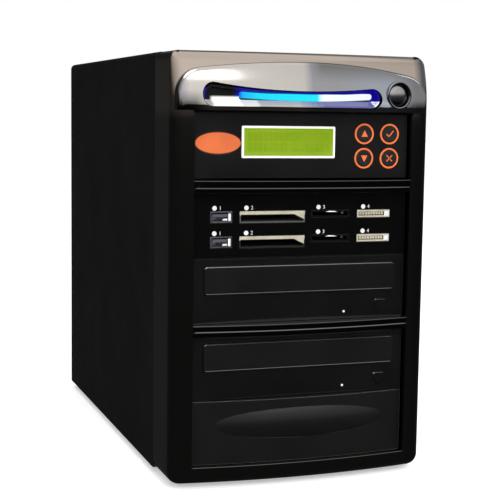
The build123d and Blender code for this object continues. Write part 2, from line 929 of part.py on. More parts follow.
for drive, bay_z in (("drive_1", drive_1_z), ("drive_2", drive_2_z)):
    floor_z = bay_z + unit_bottom_gap
    door_z = bay_z + door_z_in_bay
    eject_z = bay_z + eject_rise
    light_places = [(drive_light_x, bay_z + drive_light_rise)]

    with BuildPart() as faceplate_part:
        add(faceplate(bay_z, drive_plate_thick))
        add(panel_block(0, door_z, door_width + 2 * door_gap, door_height + 2 * door_gap, bay_y,
                        drive_plate_thick, door_corner), mode=Mode.SUBTRACT)
        with BuildSketch(facing(bay_y)):
            with Locations(light_places):
                Circle(drive_light_radius + light_hole_fit)
            add(triangle(eject_x, eject_z, eject_gap))
        extrude(amount=-drive_plate_thick, mode=Mode.SUBTRACT)
    keep(faceplate_part, f"{drive}_faceplate")

    with BuildPart() as case:
        case_z = bay_z + bay_pitch / 2
        case_y = bay_y + drive_plate_thick
        add(panel_block(0, case_z, unit_width, unit_height, case_y, drive_case_depth))
        add(panel_block(0, case_z, unit_width - 2 * sheet, unit_height - 2 * sheet, case_y,
                        drive_case_depth - sheet), mode=Mode.SUBTRACT)
        add(side_bores(bay_z, screw_radius + screw_slack, unit_half), mode=Mode.SUBTRACT)
    keep(case, f"{drive}_case")

    tray_z = bay_z + tray_rise
    deck_z = floor_z + sheet
    deck_y = bay_y - eject_proud + eject_length + eject_travel + eject_gap
    deck_length = bay_y + drive_plate_thick + drive_case_depth - sheet - deck_gap - deck_y
    with BuildPart() as deck:
        with BuildSketch(Plane.XY.offset(deck_z + deck_rise)):
            with Locations((0, deck_y + deck_length / 2)):
                Rectangle(deck_width, deck_length)
        extrude(amount=deck_thick)
        with BuildSketch(Plane.XY.offset(deck_z)):
            with Locations((0, deck_y + deck_length / 2)):
                with GridLocations(tray_width - rail_thick, 1, 2, 1):
                    Rectangle(rail_thick, deck_length)
        extrude(amount=tray_z - deck_gap - deck_z)
        with BuildSketch(Plane.XY.offset(deck_z + deck_rise)):
            with Locations((0, disc_centre_y)):
                Circle(motor_radius)
        extrude(amount=deck_thick + motor_height)
        with BuildSketch(Plane.XY.offset(deck_z + deck_rise)):
            with Locations((0, disc_centre_y)):
                Circle(spindle_radius)
        extrude(amount=bay_z + hub_rise - deck_z - deck_rise)
        with BuildSketch(Plane.XY.offset(deck_z + deck_rise)):
            with Locations((0, disc_centre_y + motor_radius + pickup_length)):
                Rectangle(pickup_width, pickup_length)
        extrude(amount=deck_thick + pickup_height)
        with BuildSketch(facing(deck_y)):
            with Locations((eject_x, floor_z + sheet + eject_switch_height / 2)):
                Rectangle(eject_switch_width, eject_switch_height)
        extrude(amount=-eject_switch_depth)
    keep(deck, f"{drive}_deck")

    hub_base = deck_z + deck_rise + deck_thick + motor_height + hub_lift
    with BuildPart() as hub:
        with BuildSketch(Plane.XY.offset(hub_base)):
            with Locations((0, disc_centre_y)):
                Circle(hub_radius)
        extrude(amount=bay_z + hub_rise - hub_base)
        with BuildSketch(Plane.XY.offset(bay_z + hub_rise)):
            with Locations((0, disc_centre_y)):
                Circle(hub_nose_radius)
        extrude(amount=hub_cap_height, taper=hub_nose_taper)
        with BuildSketch(Plane.XY.offset(hub_base)):
            with Locations((0, disc_centre_y)):
                Circle(spindle_radius + spindle_fit)
        extrude(amount=bay_z + hub_rise + hub_lift - hub_base, mode=Mode.SUBTRACT)
    keep(hub, f"{drive}_hub")

    well_z = tray_z + tray_height - disc_well_depth
    with BuildPart() as tray:
        with BuildSketch(Plane.XY.offset(tray_z)):
            with Locations((0, tray_front_y + tray_length / 2)):
                Rectangle(tray_width, tray_length)
        extrude(amount=tray_height)
        with BuildSketch(Plane.XY.offset(well_z)):
            with Locations((0, disc_centre_y)):
                Circle(disc_well_radius)
        extrude(amount=tray_height, mode=Mode.SUBTRACT)
        with BuildSketch(Plane.XY.offset(well_z - small_disc_depth)):
            with Locations((0, disc_centre_y)):
                Circle(small_disc_radius)
        extrude(amount=tray_height, mode=Mode.SUBTRACT)
        with BuildSketch(Plane.XY.offset(tray_z)):
            with Locations((0, disc_centre_y)):
                Circle(hub_slot_width / 2)
            with Locations((0, disc_centre_y + tray_length / 2)):
                Rectangle(hub_slot_width, tray_length)
        extrude(amount=tray_height, mode=Mode.SUBTRACT)
        with BuildSketch(Plane.XY.offset(tray_z)):
            with Locations((0, tray_front_y + tray_length / 2)):
                Rectangle(tray_width - 2 * tray_wall, tray_length - 2 * tray_wall)
                with Locations((0, disc_centre_y - tray_front_y - tray_length / 2)):
                    Circle(disc_well_radius + tray_wall, mode=Mode.SUBTRACT)
        extrude(amount=tray_height - tray_wall, mode=Mode.SUBTRACT)
    keep(tray, f"{drive}_tray")

    with BuildPart() as door:
        add(panel_block(0, door_z, door_width, door_height, bay_y - door_proud, door_thick, door_corner))
        fillet(door.faces().sort_by(Axis.Y)[0].edges(), door_edge)
    keep(door, f"{drive}_door")

    with BuildPart() as eject:
        with BuildSketch(facing(bay_y - eject_proud)):
            add(triangle(eject_x, eject_z, 0))
        extrude(amount=-eject_length)
        chamfer(eject.faces().sort_by(Axis.Y)[0].edges(), eject_proud / 3)
    keep(eject, f"{drive}_eject_button")

with BuildPart() as drive_lights:
    with BuildSketch(facing(bay_y)):
        with Locations([(drive_light_x, z + drive_light_rise) for z in (drive_1_z, drive_2_z)]):
            Circle(drive_light_radius)
    extrude(amount=-drive_plate_thick)
keep(drive_lights, "drive_lights")

# ---- blank cover of the lowest bay ----

blank_centre = blank_z + bay_pitch / 2
blank_edge = bay_y - blank_edge_reach
with BuildPart() as blank_cover:
    with BuildSketch(Plane.XY.offset(blank_z + plate_gap / 2)):
        with BuildLine():
            half = plate_width / 2
            ThreePointArc((-half, blank_edge), (0, bay_y - blank_bow), (half, blank_edge))
            Polyline((half, blank_edge), (half, bay_y + plate_thick), (-half, bay_y + plate_thick),
                     (-half, blank_edge))
        make_face()
    extrude(amount=plate_height)
    swell_front = bay_y - blank_bow - swell_reach
    swell_fall = swell_reach + (blank_bow - blank_edge_reach) * (swell_width / plate_width) ** 2
    swell_radius = ((swell_width / 2) ** 2 + swell_fall ** 2) / (2 * swell_fall)
    swell_axis_y = swell_front + swell_radius
    swell_angle = degrees(asin(swell_width / 2 / swell_radius))
    turn = radians(swell_angle)
    with BuildPart(mode=Mode.PRIVATE) as swell:
        swell_start = Plane(origin=(0, swell_axis_y, blank_z + swell_rise),
                            x_dir=(-sin(turn), -cos(turn), 0), z_dir=(-cos(turn), sin(turn), 0))
        with BuildSketch(swell_start):
            with BuildLine():
                root = swell_radius - swell_reach - blank_edge_reach
                ThreePointArc((swell_radius - swell_reach, -swell_height / 2), (swell_radius, 0),
                              (swell_radius - swell_reach, swell_height / 2))
                Polyline((swell_radius - swell_reach, swell_height / 2), (root, swell_height / 2),
                         (root, -swell_height / 2), (swell_radius - swell_reach, -swell_height / 2))
            make_face()
        revolve(axis=Axis((0, swell_axis_y, 0), (0, 0, 1)), revolution_arc=2 * swell_angle)
    add(swell.part)
    with BuildSketch(facing(bay_y + plate_thick)):
        with Locations((0, blank_centre)):
            Rectangle(unit_width, unit_height)
            Rectangle(unit_width - 2 * blank_skirt_wall, unit_height - 2 * blank_skirt_wall,
                      mode=Mode.SUBTRACT)
    extrude(amount=-blank_skirt)
keep(blank_cover, "blank_cover")

# ---- steel chassis ----

inner_half = half_width - sheet - slip
pan_top = case_bottom + sheet
frame_back = bezel_back + sheet
panel_inner = panel_y - sheet
wall_flange_z = case_bottom + flange + 2 * sheet
skin_top = case_top - sheet - slip


def upright_plate(y_front, toward):
    """Upright sheet across the case with flanges along its sides and top, folded one way."""
    with BuildPart() as plate:
        with BuildSketch(facing(y_front + sheet)) as outline:
            with Locations((0, (case_bottom + skin_top) / 2)):
                Rectangle(2 * inner_half, skin_top - case_bottom)
            fillet(outline.vertices().group_by(Axis.Y)[-1], cover_bend - sheet)
        extrude(amount=sheet)
        with BuildSketch(facing(y_front + sheet if toward > 0 else y_front)) as ring:
            with Locations((0, (case_bottom + skin_top) / 2)):
                Rectangle(2 * inner_half, skin_top - case_bottom)
            fillet(ring.vertices().group_by(Axis.Y)[-1], cover_bend - sheet)
            offset(amount=-sheet, mode=Mode.SUBTRACT)
            with Locations((0, wall_flange_z / 2)):
                Rectangle(2 * half_width, wall_flange_z, mode=Mode.SUBTRACT)
        extrude(amount=-toward * flange)
    return plate.part


cage_half = unit_half + unit_side_gap
with BuildPart() as front_frame:
    add(upright_plate(bezel_back, 1))
    with BuildSketch(facing(frame_back)):
        with Locations((0, (blank_z + recess_top) / 2)):
            Rectangle(2 * cage_half, recess_top - blank_z)
        hook_x = half_width - bezel_wall - (hook_thick - hook_slack) / 2
        with Locations([(side * hook_x, z) for side in (-1, 1) for z in hook_heights]):
            Rectangle(hook_thick + 3 * hook_slack, hook_width + 2 * hook_slack)
        with Locations([(wire_x, wire_z) for wire_x in (-wire_hole_x, wire_hole_x)]):
            Circle(wire_hole_radius)
    extrude(amount=sheet, mode=Mode.SUBTRACT)
keep(front_frame, "front_frame")

supply_z = pan_top + supply_lift + supply_height / 2
supply_screw_x = supply_width / 2 - supply_screw_inset
supply_screw_z = supply_height / 2 - supply_screw_inset
supply_screw_places = [
    (side * supply_screw_x, supply_z + lift * supply_screw_z) for side in (-1, 1) for lift in (-1, 1)
]
lip_screw_places = [
    (side * (half_width - sheet - lip_width / 2), z) for side in (-1, 1) for z in lip_screw_heights
]

with BuildPart() as rear_panel:
    add(upright_plate(panel_inner, -1))
    with BuildSketch(facing(panel_y)):
        with Locations((0, supply_z)):
            Rectangle(supply_width - 2 * supply_window_side, supply_height - 2 * supply_window_margin)
        with Locations(supply_screw_places + lip_screw_places):
            Circle(screw_radius + screw_slack)
        with Locations((0, case_fan_z)):
            Circle(fan_bore)
            with GridLocations(fan_hole_spacing, fan_hole_spacing, 2, 2):
                Circle(fan_hole_radius)
        with Locations((0, vent_z)):
            with GridLocations(vent_pitch, 1, vent_slot_count, 1):
                SlotOverall(vent_slot_length, vent_slot_width, rotation=90)
    extrude(amount=sheet, mode=Mode.SUBTRACT)
keep(rear_panel, "rear_panel")

pan_length = panel_inner - frame_back
pan_middle = (panel_inner + frame_back) / 2
foot_places = [
    (side * (half_width - foot_inset_x), y)
    for side in (-1, 1) for y in (bay_y + foot_inset_front, rear_y - foot_inset_rear)
]
with BuildPart() as base_pan:
    with BuildSketch(Plane.XY.offset(case_bottom)):
        with Locations((0, pan_middle)):
            Rectangle(2 * inner_half, pan_length)
    extrude(amount=sheet)
    with BuildSketch(Plane.XY.offset(case_bottom)):
        with Locations((0, pan_middle)):
            with GridLocations(2 * inner_half - sheet, 1, 2, 1):
                Rectangle(sheet, pan_length)
    extrude(amount=flange)
    with BuildSketch(Plane.XY.offset(case_bottom)):
        with Locations(foot_places):
            Circle(foot_stem_radius + foot_stem_slack)
    extrude(amount=sheet, mode=Mode.SUBTRACT)
keep(base_pan, "base_pan")

cage_top = recess_top - unit_bottom_gap
for name, side in (("cage_left", -1), ("cage_right", 1)):
    with BuildPart() as cage:
        with BuildSketch(facing(frame_back + cage_depth)):
            with BuildLine():
                Polyline(
                    (side * cage_half, pan_top),
                    (side * cage_half, cage_top),
                    (side * (cage_half + cage_flange), cage_top),
                    (side * (cage_half + cage_flange), cage_top - sheet),
                    (side * (cage_half + sheet), cage_top - sheet),
                    (side * (cage_half + sheet), pan_top + sheet),
                    (side * (cage_half + cage_flange), pan_top + sheet),
                    (side * (cage_half + cage_flange), pan_top),
                    close=True,
                )
            make_face()
        extrude(amount=cage_depth)
        with BuildSketch(facing(frame_back + sheet)):
            with Locations((side * (cage_half + cage_flange / 2), (pan_top + cage_top) / 2)):
                Rectangle(cage_flange, cage_top - pan_top)
        extrude(amount=sheet)
        with BuildSketch(Plane.YZ.offset(side * cage_half)):
            with Locations([(y, z + drive_screw_rise) for z in screwed_bays for y in screw_places_y]):
                SlotOverall(cage_slot_length, 2 * (screw_radius + screw_slack))
            with Locations([(frame_back + cage_depth / 2, z + bay_pitch / 2) for z in screwed_bays]):
                with GridLocations(cage_window_pitch, 1, cage_windows, 1):
                    RectangleRounded(cage_window_width, cage_window_height, cage_window_width / 2.1)
        extrude(amount=side * sheet, mode=Mode.SUBTRACT)
    keep(cage, name)


def cover_profile(inset, bottom, bend):
    """Outline of the cover seen from the front, set in by some millimetres."""
    half = half_width - inset
    top = case_top - inset
    with BuildSketch() as outline:
        with Locations((0, (bottom + top) / 2)):
            Rectangle(2 * half, top - bottom)
        fillet(outline.vertices().group_by(Axis.Y)[-1], bend)
    return outline.sketch


with BuildPart() as outer_cover:
    with BuildSketch(facing(rear_y)):
        add(cover_profile(0, case_bottom, cover_bend))
    extrude(amount=rear_y - case_front)
    with BuildSketch(facing(rear_y - sheet)):
        add(cover_profile(sheet, case_bottom - sheet, cover_bend - sheet))
    extrude(amount=rear_y - case_front, mode=Mode.SUBTRACT)
    with BuildSketch(facing(rear_y)):
        add(cover_profile(sheet + lip_width, case_bottom - sheet, cover_bend))
        with Locations(lip_screw_places):
            Circle(screw_radius + screw_slack)
    extrude(amount=sheet, mode=Mode.SUBTRACT)
keep(outer_cover, "outer_cover")

with BuildPart() as rubber_feet:
    with BuildSketch():
        with Locations(foot_places):
            Circle(foot_radius)
    extrude(amount=foot_height)
    chamfer(rubber_feet.faces().filter_by(Axis.Z).group_by(Axis.Z)[0].edges(), foot_chamfer)
    with BuildSketch(Plane.XY.offset(foot_height)):
        with Locations(foot_places):
            Circle(foot_stem_radius)
    extrude(amount=foot_stem)
keep(rubber_feet, "rubber_feet")


def rear_screws(places, y_seat, radius, head_radius, length):
    """Pan head screws driven from behind into the places, heads on the seat."""
    with BuildPart() as screws:
        with BuildSketch(facing(y_seat)):
            with Locations(places):
                Circle(radius)
        extrude(amount=length)
        with BuildSketch(facing(y_seat + screw_head)):
            with Locations(places):
                Circle(head_radius)
        extrude(amount=screw_head)
        fillet(screws.faces().filter_by(Axis.Y).group_by(Axis.Y)[-1].edges(), screw_head / 3)
        with BuildSketch(facing(y_seat + screw_head)):
            with Locations(places):
                Rectangle(1.4 * head_radius, slot_in_head)
                Rectangle(slot_in_head, 1.4 * head_radius)
        extrude(amount=screw_head / 2, mode=Mode.SUBTRACT)
    return screws.part


with BuildPart() as case_screws:
    add(rear_screws(lip_screw_places, rear_y, screw_radius, screw_head_radius, screw_length))
    add(rear_screws(supply_screw_places, panel_y, screw_radius, screw_head_radius, screw_length))
keep(case_screws, "case_screws")

with BuildPart() as drive_screws:
    for side in (-1, 1):
        seat = side * (cage_half + sheet)
        places = [(y, z + drive_screw_rise) for z in screwed_bays for y in screw_places_y]
        with BuildSketch(Plane.YZ.offset(seat)):
            with Locations(places):
                Circle(screw_radius)
        extrude(amount=-side * drive_screw_length)
        with BuildSketch(Plane.YZ.offset(seat)):
            with Locations(places):
                Circle(screw_head_radius)
        extrude(amount=side * screw_head)
        with BuildSketch(Plane.YZ.offset(seat + side * screw_head)):
            with Locations(places):
                Rectangle(1.4 * screw_head_radius, slot_in_head)
                Rectangle(slot_in_head, 1.4 * screw_head_radius)
        extrude(amount=-side * screw_head / 2, mode=Mode.SUBTRACT)
keep(drive_screws, "drive_screws")

# ---- power supply, inlet, switch and fans ----

fan_centres = {"supply": (supply_fan_x, supply_z), "case": (0, case_fan_z)}
inlet_z = pan_top + supply_lift + inlet_rise
rocker_z = pan_top + supply_lift + rocker_rise

with BuildPart() as supply_case:
    add(panel_block(0, supply_z, supply_width, supply_height, panel_inner - supply_depth, supply_depth))
    add(panel_block(0, supply_z, supply_width - 2 * sheet, supply_height - 2 * sheet,
                    panel_inner - supply_depth + sheet, supply_depth - 2 * sheet), mode=Mode.SUBTRACT)
    with BuildSketch(facing(panel_inner)):
        with Locations(fan_centres["supply"]):
            Circle(fan_bore)
            with GridLocations(fan_hole_spacing, fan_hole_spacing, 2, 2):
                Circle(fan_hole_radius)
        with Locations((inlet_x, inlet_z)):
            Rectangle(inlet_body_width + 2 * socket_gap, inlet_body_height + 2 * socket_gap)
        with Locations((inlet_x, rocker_z)):
            Rectangle(rocker_width + 2 * rocker_frame + 2 * socket_gap,
                      rocker_height + 2 * rocker_frame + 2 * socket_gap)
        with Locations(supply_screw_places):
            Circle(screw_radius + screw_slack)
    extrude(amount=sheet, mode=Mode.SUBTRACT)
    with BuildSketch(facing(panel_inner - supply_depth + sheet)):
        with Locations((0, supply_z)):
            with GridLocations(supply_vent_pitch, 1, supply_vent_count, 1):
                SlotOverall(supply_vent_length, vent_slot_width, rotation=90)
    extrude(amount=sheet, mode=Mode.SUBTRACT)
keep(supply_case, "supply_case")


def rear_block(x, z, width, height, y_low, y_high, corner=0.0):
    """Upright block between two distances along Y."""
    return panel_block(x, z, width, height, y_low, y_high - y_low, corner)


inlet_face = panel_inner + inlet_flange_thick
pivot_y = panel_inner - rocker_pivot_depth
with BuildPart() as mains_inlet:
    add(rear_block(inlet_x, pan_top + supply_lift + inlet_plate_rise, inlet_flange_width,
                   inlet_plate_height, panel_inner, inlet_face, inlet_plate_round))
    add(rear_block(inlet_x, inlet_z, inlet_body_width, inlet_body_height,
                   inlet_face - inlet_depth, inlet_face))
    add(rear_block(inlet_x, rocker_z, rocker_width + 2 * rocker_frame, rocker_height + 2 * rocker_frame,
                   inlet_face - rocker_depth, inlet_face))
    add(rear_block(inlet_x, inlet_z, inlet_hollow_width, inlet_hollow_height,
                   inlet_face - inlet_depth + inlet_flange_thick, inlet_face), mode=Mode.SUBTRACT)
    add(rear_block(inlet_x, rocker_z, rocker_width, rocker_height + 2 * rocker_gap,
                   inlet_face - rocker_depth + inlet_flange_thick, inlet_face), mode=Mode.SUBTRACT)
    with BuildSketch(facing(inlet_face - inlet_depth + inlet_flange_thick)):
        with Locations(
            (inlet_x - pin_spacing, inlet_z - pin_lift / 2),
            (inlet_x, inlet_z + pin_lift / 2),
            (inlet_x + pin_spacing, inlet_z - pin_lift / 2),
        ):
            Rectangle(pin_width, pin_height)
    extrude(amount=-pin_length)
    with BuildSketch(Plane.YZ.offset(inlet_x)):
        with Locations((pivot_y, rocker_z)):
            Circle(rocker_pivot_radius)
    extrude(amount=rocker_width / 2, both=True)
keep(mains_inlet, "mains_inlet")

rest_tilt = radians(rocker_tilt)
with BuildPart() as mains_rocker:
    rocker_plane = Plane(origin=(inlet_x, pivot_y, rocker_z), x_dir=(0, cos(rest_tilt), sin(rest_tilt)),
                         z_dir=(1, 0, 0))
    with BuildSketch(rocker_plane):
        with BuildLine():
            Polyline(
                (-rocker_root, -rocker_half_height),
                (-rocker_root, rocker_half_height),
                (rocker_face + rocker_lift, rocker_half_height),
                (rocker_face, 0),
                (rocker_face + rocker_lift, -rocker_half_height),
                close=True,
            )
        make_face()
        Circle(rocker_pivot_radius + rocker_pivot_fit, mode=Mode.SUBTRACT)
    extrude(amount=rocker_width / 2 - rocker_gap, both=True)
keep(mains_rocker, "mains_rocker")

fan_seats = {"supply": panel_inner - sheet, "case": panel_inner}
guard_seats = {"supply": panel_inner, "case": panel_y}
fan_hole_reach = fan_hole_spacing / 2
fan_corner_places = {
    name: [(x + sx * fan_hole_reach, z + sz * fan_hole_reach) for sx in (-1, 1) for sz in (-1, 1)]
    for name, (x, z) in fan_centres.items()
}

with BuildPart() as fan_frames:
    for name, (x, z) in fan_centres.items():
        seat = fan_seats[name]
        add(rear_block(x, z, fan_size, fan_size, seat - fan_depth, seat, fan_corner))
        with BuildSketch(facing(seat)):
            with Locations((x, z)):
                Circle(fan_bore)
            with Locations(fan_corner_places[name]):
                Circle(fan_hole_radius)
        extrude(amount=fan_depth, mode=Mode.SUBTRACT)
        with BuildSketch(facing(seat - fan_depth + fan_strut_thick)):
            with Locations((x, z)):
                Circle(fan_stator_radius)
                Rectangle(2 * fan_bore + 1, fan_strut_width)
                Rectangle(fan_strut_width, 2 * fan_bore + 1)
        extrude(amount=fan_strut_thick)
        with BuildSketch(facing(seat - fan_depth + fan_strut_thick)):
            with Locations((x, z)):
                Circle(fan_shaft_radius)
        extrude(amount=-(fan_depth - fan_strut_thick) / 2)
keep(fan_frames, "fan_frames")

for name, (x, z) in fan_centres.items():
    rotor_front = fan_seats[name] - fan_depth + fan_strut_thick + fan_end_gap / 2
    rotor_back = fan_seats[name] - fan_end_gap
    rotor_middle = (rotor_front + rotor_back) / 2
    with BuildPart() as rotor:
        with BuildSketch(facing(rotor_back)):
            with Locations((x, z)):
                Circle(fan_hub_radius)
        extrude(amount=rotor_back - rotor_front)
        fillet(rotor.faces().sort_by(Axis.Y)[-1].edges(), fan_end_gap)
        for blade in range(fan_blades):
            turn = radians(360 / fan_blades * blade)
            outward = Vector(cos(turn), 0, sin(turn))
            root = Vector(x, rotor_middle, z) + outward * (fan_hub_radius - fan_blade_thick)
            with BuildSketch(Plane(origin=root, x_dir=(0, 1, 0), z_dir=outward)):
                Rectangle(fan_blade_chord, fan_blade_thick, rotation=fan_blade_pitch)
            extrude(amount=fan_bore - fan_tip_gap - fan_hub_radius + fan_blade_thick)
        with BuildSketch(facing(rotor_front)):
            with Locations((x, z)):
                Circle(fan_shaft_radius + fan_shaft_fit)
        extrude(amount=-(fan_depth - fan_strut_thick) / 2, mode=Mode.SUBTRACT)
    keep(rotor, f"{name}_fan_rotor")

with BuildPart() as fan_guards:
    for name, (x, z) in fan_centres.items():
        seat = guard_seats[name]
        for ring in guard_rings:
            with BuildSketch(Plane.YZ.offset(x)) as wire:
                with Locations((seat + guard_wire, z + ring)):
                    Circle(guard_wire)
            revolve(axis=Axis((x, 0, z), (0, 1, 0)))
        spoke = sqrt(2) * fan_hole_spacing - 2 * (fan_screw_head_radius + socket_gap)
        with BuildSketch(facing(seat + 2 * guard_wire)):
            with Locations((x, z)):
                for lean in (45, -45):
                    Rectangle(spoke, 2 * guard_wire, rotation=lean)
        extrude(amount=2 * guard_wire)
        with BuildSketch(facing(seat + guard_ear_thick)):
            with Locations(fan_corner_places[name]):
                Circle(guard_ear_radius)
                Circle(fan_hole_radius, mode=Mode.SUBTRACT)
        extrude(amount=guard_ear_thick)
keep(fan_guards, "fan_guards")

with BuildPart() as fan_screws:
    for name in fan_centres:
        add(rear_screws(fan_corner_places[name], guard_seats[name] + guard_ear_thick,
                        fan_screw_radius, fan_screw_head_radius, fan_screw_length))
keep(fan_screws, "fan_screws")
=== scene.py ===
import bpy
import bmesh
import json
from math import asin, atan2, cos, pi, radians, sin, sqrt
from mathutils import Matrix, Vector
from mathutils.geometry import delaunay_2d_cdt


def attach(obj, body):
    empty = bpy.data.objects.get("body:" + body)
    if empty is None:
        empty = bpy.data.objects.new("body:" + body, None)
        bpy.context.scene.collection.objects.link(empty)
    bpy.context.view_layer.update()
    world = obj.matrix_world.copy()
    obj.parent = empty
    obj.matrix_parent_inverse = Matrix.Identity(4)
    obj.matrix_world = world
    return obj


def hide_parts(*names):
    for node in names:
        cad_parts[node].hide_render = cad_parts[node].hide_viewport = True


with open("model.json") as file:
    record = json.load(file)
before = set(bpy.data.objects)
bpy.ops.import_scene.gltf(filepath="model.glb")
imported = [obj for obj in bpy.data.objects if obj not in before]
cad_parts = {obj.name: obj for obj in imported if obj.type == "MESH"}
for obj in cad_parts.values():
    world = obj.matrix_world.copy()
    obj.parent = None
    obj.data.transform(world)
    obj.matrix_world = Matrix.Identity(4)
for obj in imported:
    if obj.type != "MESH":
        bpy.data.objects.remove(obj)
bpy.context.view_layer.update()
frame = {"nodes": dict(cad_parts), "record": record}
nodes = frame["nodes"]
bodyOf = {node: body for body, members in frame["record"]["behaviour"]["bodies"].items()
          for node in members}
mm = 0.001
print("frame loaded:", len(nodes), "nodes")


# node trees
def setInputs(tree, node, inputs):
    # each input, by name or number, takes another node's output, a colour or a number
    for key, value in inputs.items():
        socket = node.inputs[key]
        if isinstance(value, bpy.types.NodeSocket):
            tree.links.new(value, socket)
        elif socket.type == "RGBA":
            socket.default_value = (*value, 1) if isinstance(value, tuple) else (value, value, value, 1)
        else:
            socket.default_value = value


def addNode(tree, kind, inputs=None, **settings):
    node = tree.nodes.new(kind)
    for label, value in settings.items():
        setattr(node, label, value)
    setInputs(tree, node, inputs or {})
    return node


def maths(tree, operation, first, second):
    return addNode(tree, "ShaderNodeMath", {0: first, 1: second}, operation=operation).outputs[0]


def mixColours(tree, factor, first, second):
    return addNode(tree, "ShaderNodeMix", {0: factor, 6: first, 7: second}, data_type="RGBA").outputs[2]


def span(tree, value, lowIn, highIn, lowOut=0, highOut=1, **settings):
    # what lies between two limits is spread between two others
    limits = {0: value, 1: lowIn, 2: highIn, 3: lowOut, 4: highOut}
    return addNode(tree, "ShaderNodeMapRange", limits, **settings).outputs[0]


def colourRamp(tree, value, stops):
    ramp = addNode(tree, "ShaderNodeValToRGB", {0: value})
    elements = ramp.color_ramp.elements
    for index, (position, colour) in enumerate(stops):
        stop = elements[index] if index < 2 else elements.new(position)
        stop.position = position
        stop.color = (*colour, 1)
    return ramp.outputs[0]


def newMaterial(name):
    material = bpy.data.materials.new(name)
    material.use_nodes = True
    return material, material.node_tree, material.node_tree.nodes["Principled BSDF"]


# finishes
# the input values between which each pattern runs from none to full
contrast = {"mottle": (0.35, 0.65), "smudge": (0.3, 0.7), "edge": (0.97, 0.75)}


def finish(name, look):
    # one painted, moulded or metal surface: mottled colour, uneven gloss, fine grain; some carry painted
    # highlights along their edges, painted light and shade in boxes, and a glow that is backlight on the
    # display and painted light elsewhere
    material, tree, shader = newMaterial(name)
    place = addNode(tree, "ShaderNodeTexCoord").outputs["Object"]
    split = addNode(tree, "ShaderNodeSeparateXYZ", {0: place})

    def noise(scale, detail, roughness=0.55):
        sizes = {"Vector": place, "Scale": scale, "Detail": detail, "Roughness": roughness}
        return addNode(tree, "ShaderNodeTexNoise", sizes).outputs["Fac"]

    def within(limits):
        # 1 inside a box of the object's own space in millimetres, 0 outside, with a soft border
        whole = None
        for axis, low, high, soft in limits:
            for edge, rising in ((low, 1), (high, 0)):
                side = span(tree, split.outputs["XYZ".index(axis)], (edge - soft) * mm, (edge + soft) * mm,
                            1 - rising, rising)
                whole = side if whole is None else maths(tree, "MULTIPLY", whole, side)
        return whole

    def tinted(colour, zones):
        # each zone paints a lighter or darker tint into a box of the object's space: painted light and shade
        for limits, tint in zones:
            colour = mixColours(tree, within(limits), colour, tint)
        return colour

    mottle = span(tree, noise(look["mottle"], 4), *contrast["mottle"])
    colour = tinted(mixColours(tree, mottle, look["colour"], look["second"]), look.get("zones", ()))
    # painted highlight along rounded edges: where the Bevel node's normal turns from the true one, the colour
    # turns to the edge colour
    if "edge" in look:
        shape = addNode(tree, "ShaderNodeNewGeometry")
        rounded = addNode(tree, "ShaderNodeBevel", {"Radius": look["edgeWidth"] * mm}, samples=4)
        both = {0: rounded.outputs["Normal"], 1: shape.outputs["Normal"]}
        turned = addNode(tree, "ShaderNodeVectorMath", both, operation="DOT_PRODUCT")
        edgeHighlight = span(tree, turned.outputs["Value"], *contrast["edge"])
        colour = mixColours(tree, edgeHighlight, colour, look["edge"])
    bump = addNode(tree, "ShaderNodeBump", {
        "Height": noise(look["grain"], 2), "Strength": look["relief"],
        "Distance": look.get("depth", 0.02) * mm})
    setInputs(tree, shader, {
        "Base Color": colour, "Normal": bump.outputs["Normal"], "Metallic": look.get("metal", 0),
        "Roughness": span(tree, noise(look["smudge"], 5, 0.65), *contrast["smudge"], *look["rough"]),
        "Specular IOR Level": look.get("shine", 0.5), "Coat Weight": look.get("coat", 0),
        "Coat Roughness": look.get("coatRough", 0.1),
    })
    # a glow: backlight on the display, painted light on the slot liner and the display frame
    if "glow" in look:
        lit = span(tree, noise(look["mottle"] * 2, 2), *contrast["smudge"])
        glow = mixColours(tree, lit, look["glowColour"], look["glowSecond"])
        setInputs(tree, shader, {
            "Emission Strength": look["glow"], "Emission Color": tinted(glow, look.get("glowZones", ()))})
    return material


pearl = {"rough": (0.11, 0.15), "grain": 1900, "relief": 0.03, "metal": 1, "coat": 0.1, "coatRough": 0.05}
fineTexture = {
    "mottle": 35, "rough": (0.15, 0.2), "smudge": 40, "grain": 3800, "relief": 0.12, "edgeWidth": 0.4,
}
cream = {
    "colour": (0.31, 0.285, 0.215), "second": (0.41, 0.375, 0.29), "mottle": 160,
    "rough": (0.4, 0.55), "smudge": 100, "grain": 1700, "relief": 0.3, "depth": 0.03,
}
lens = {"smudge": 400, "grain": 900, "rough": (0.2, 0.3), "relief": 0.1}
bays = ("X", -75, 75, 0.5)     # the width of the openings

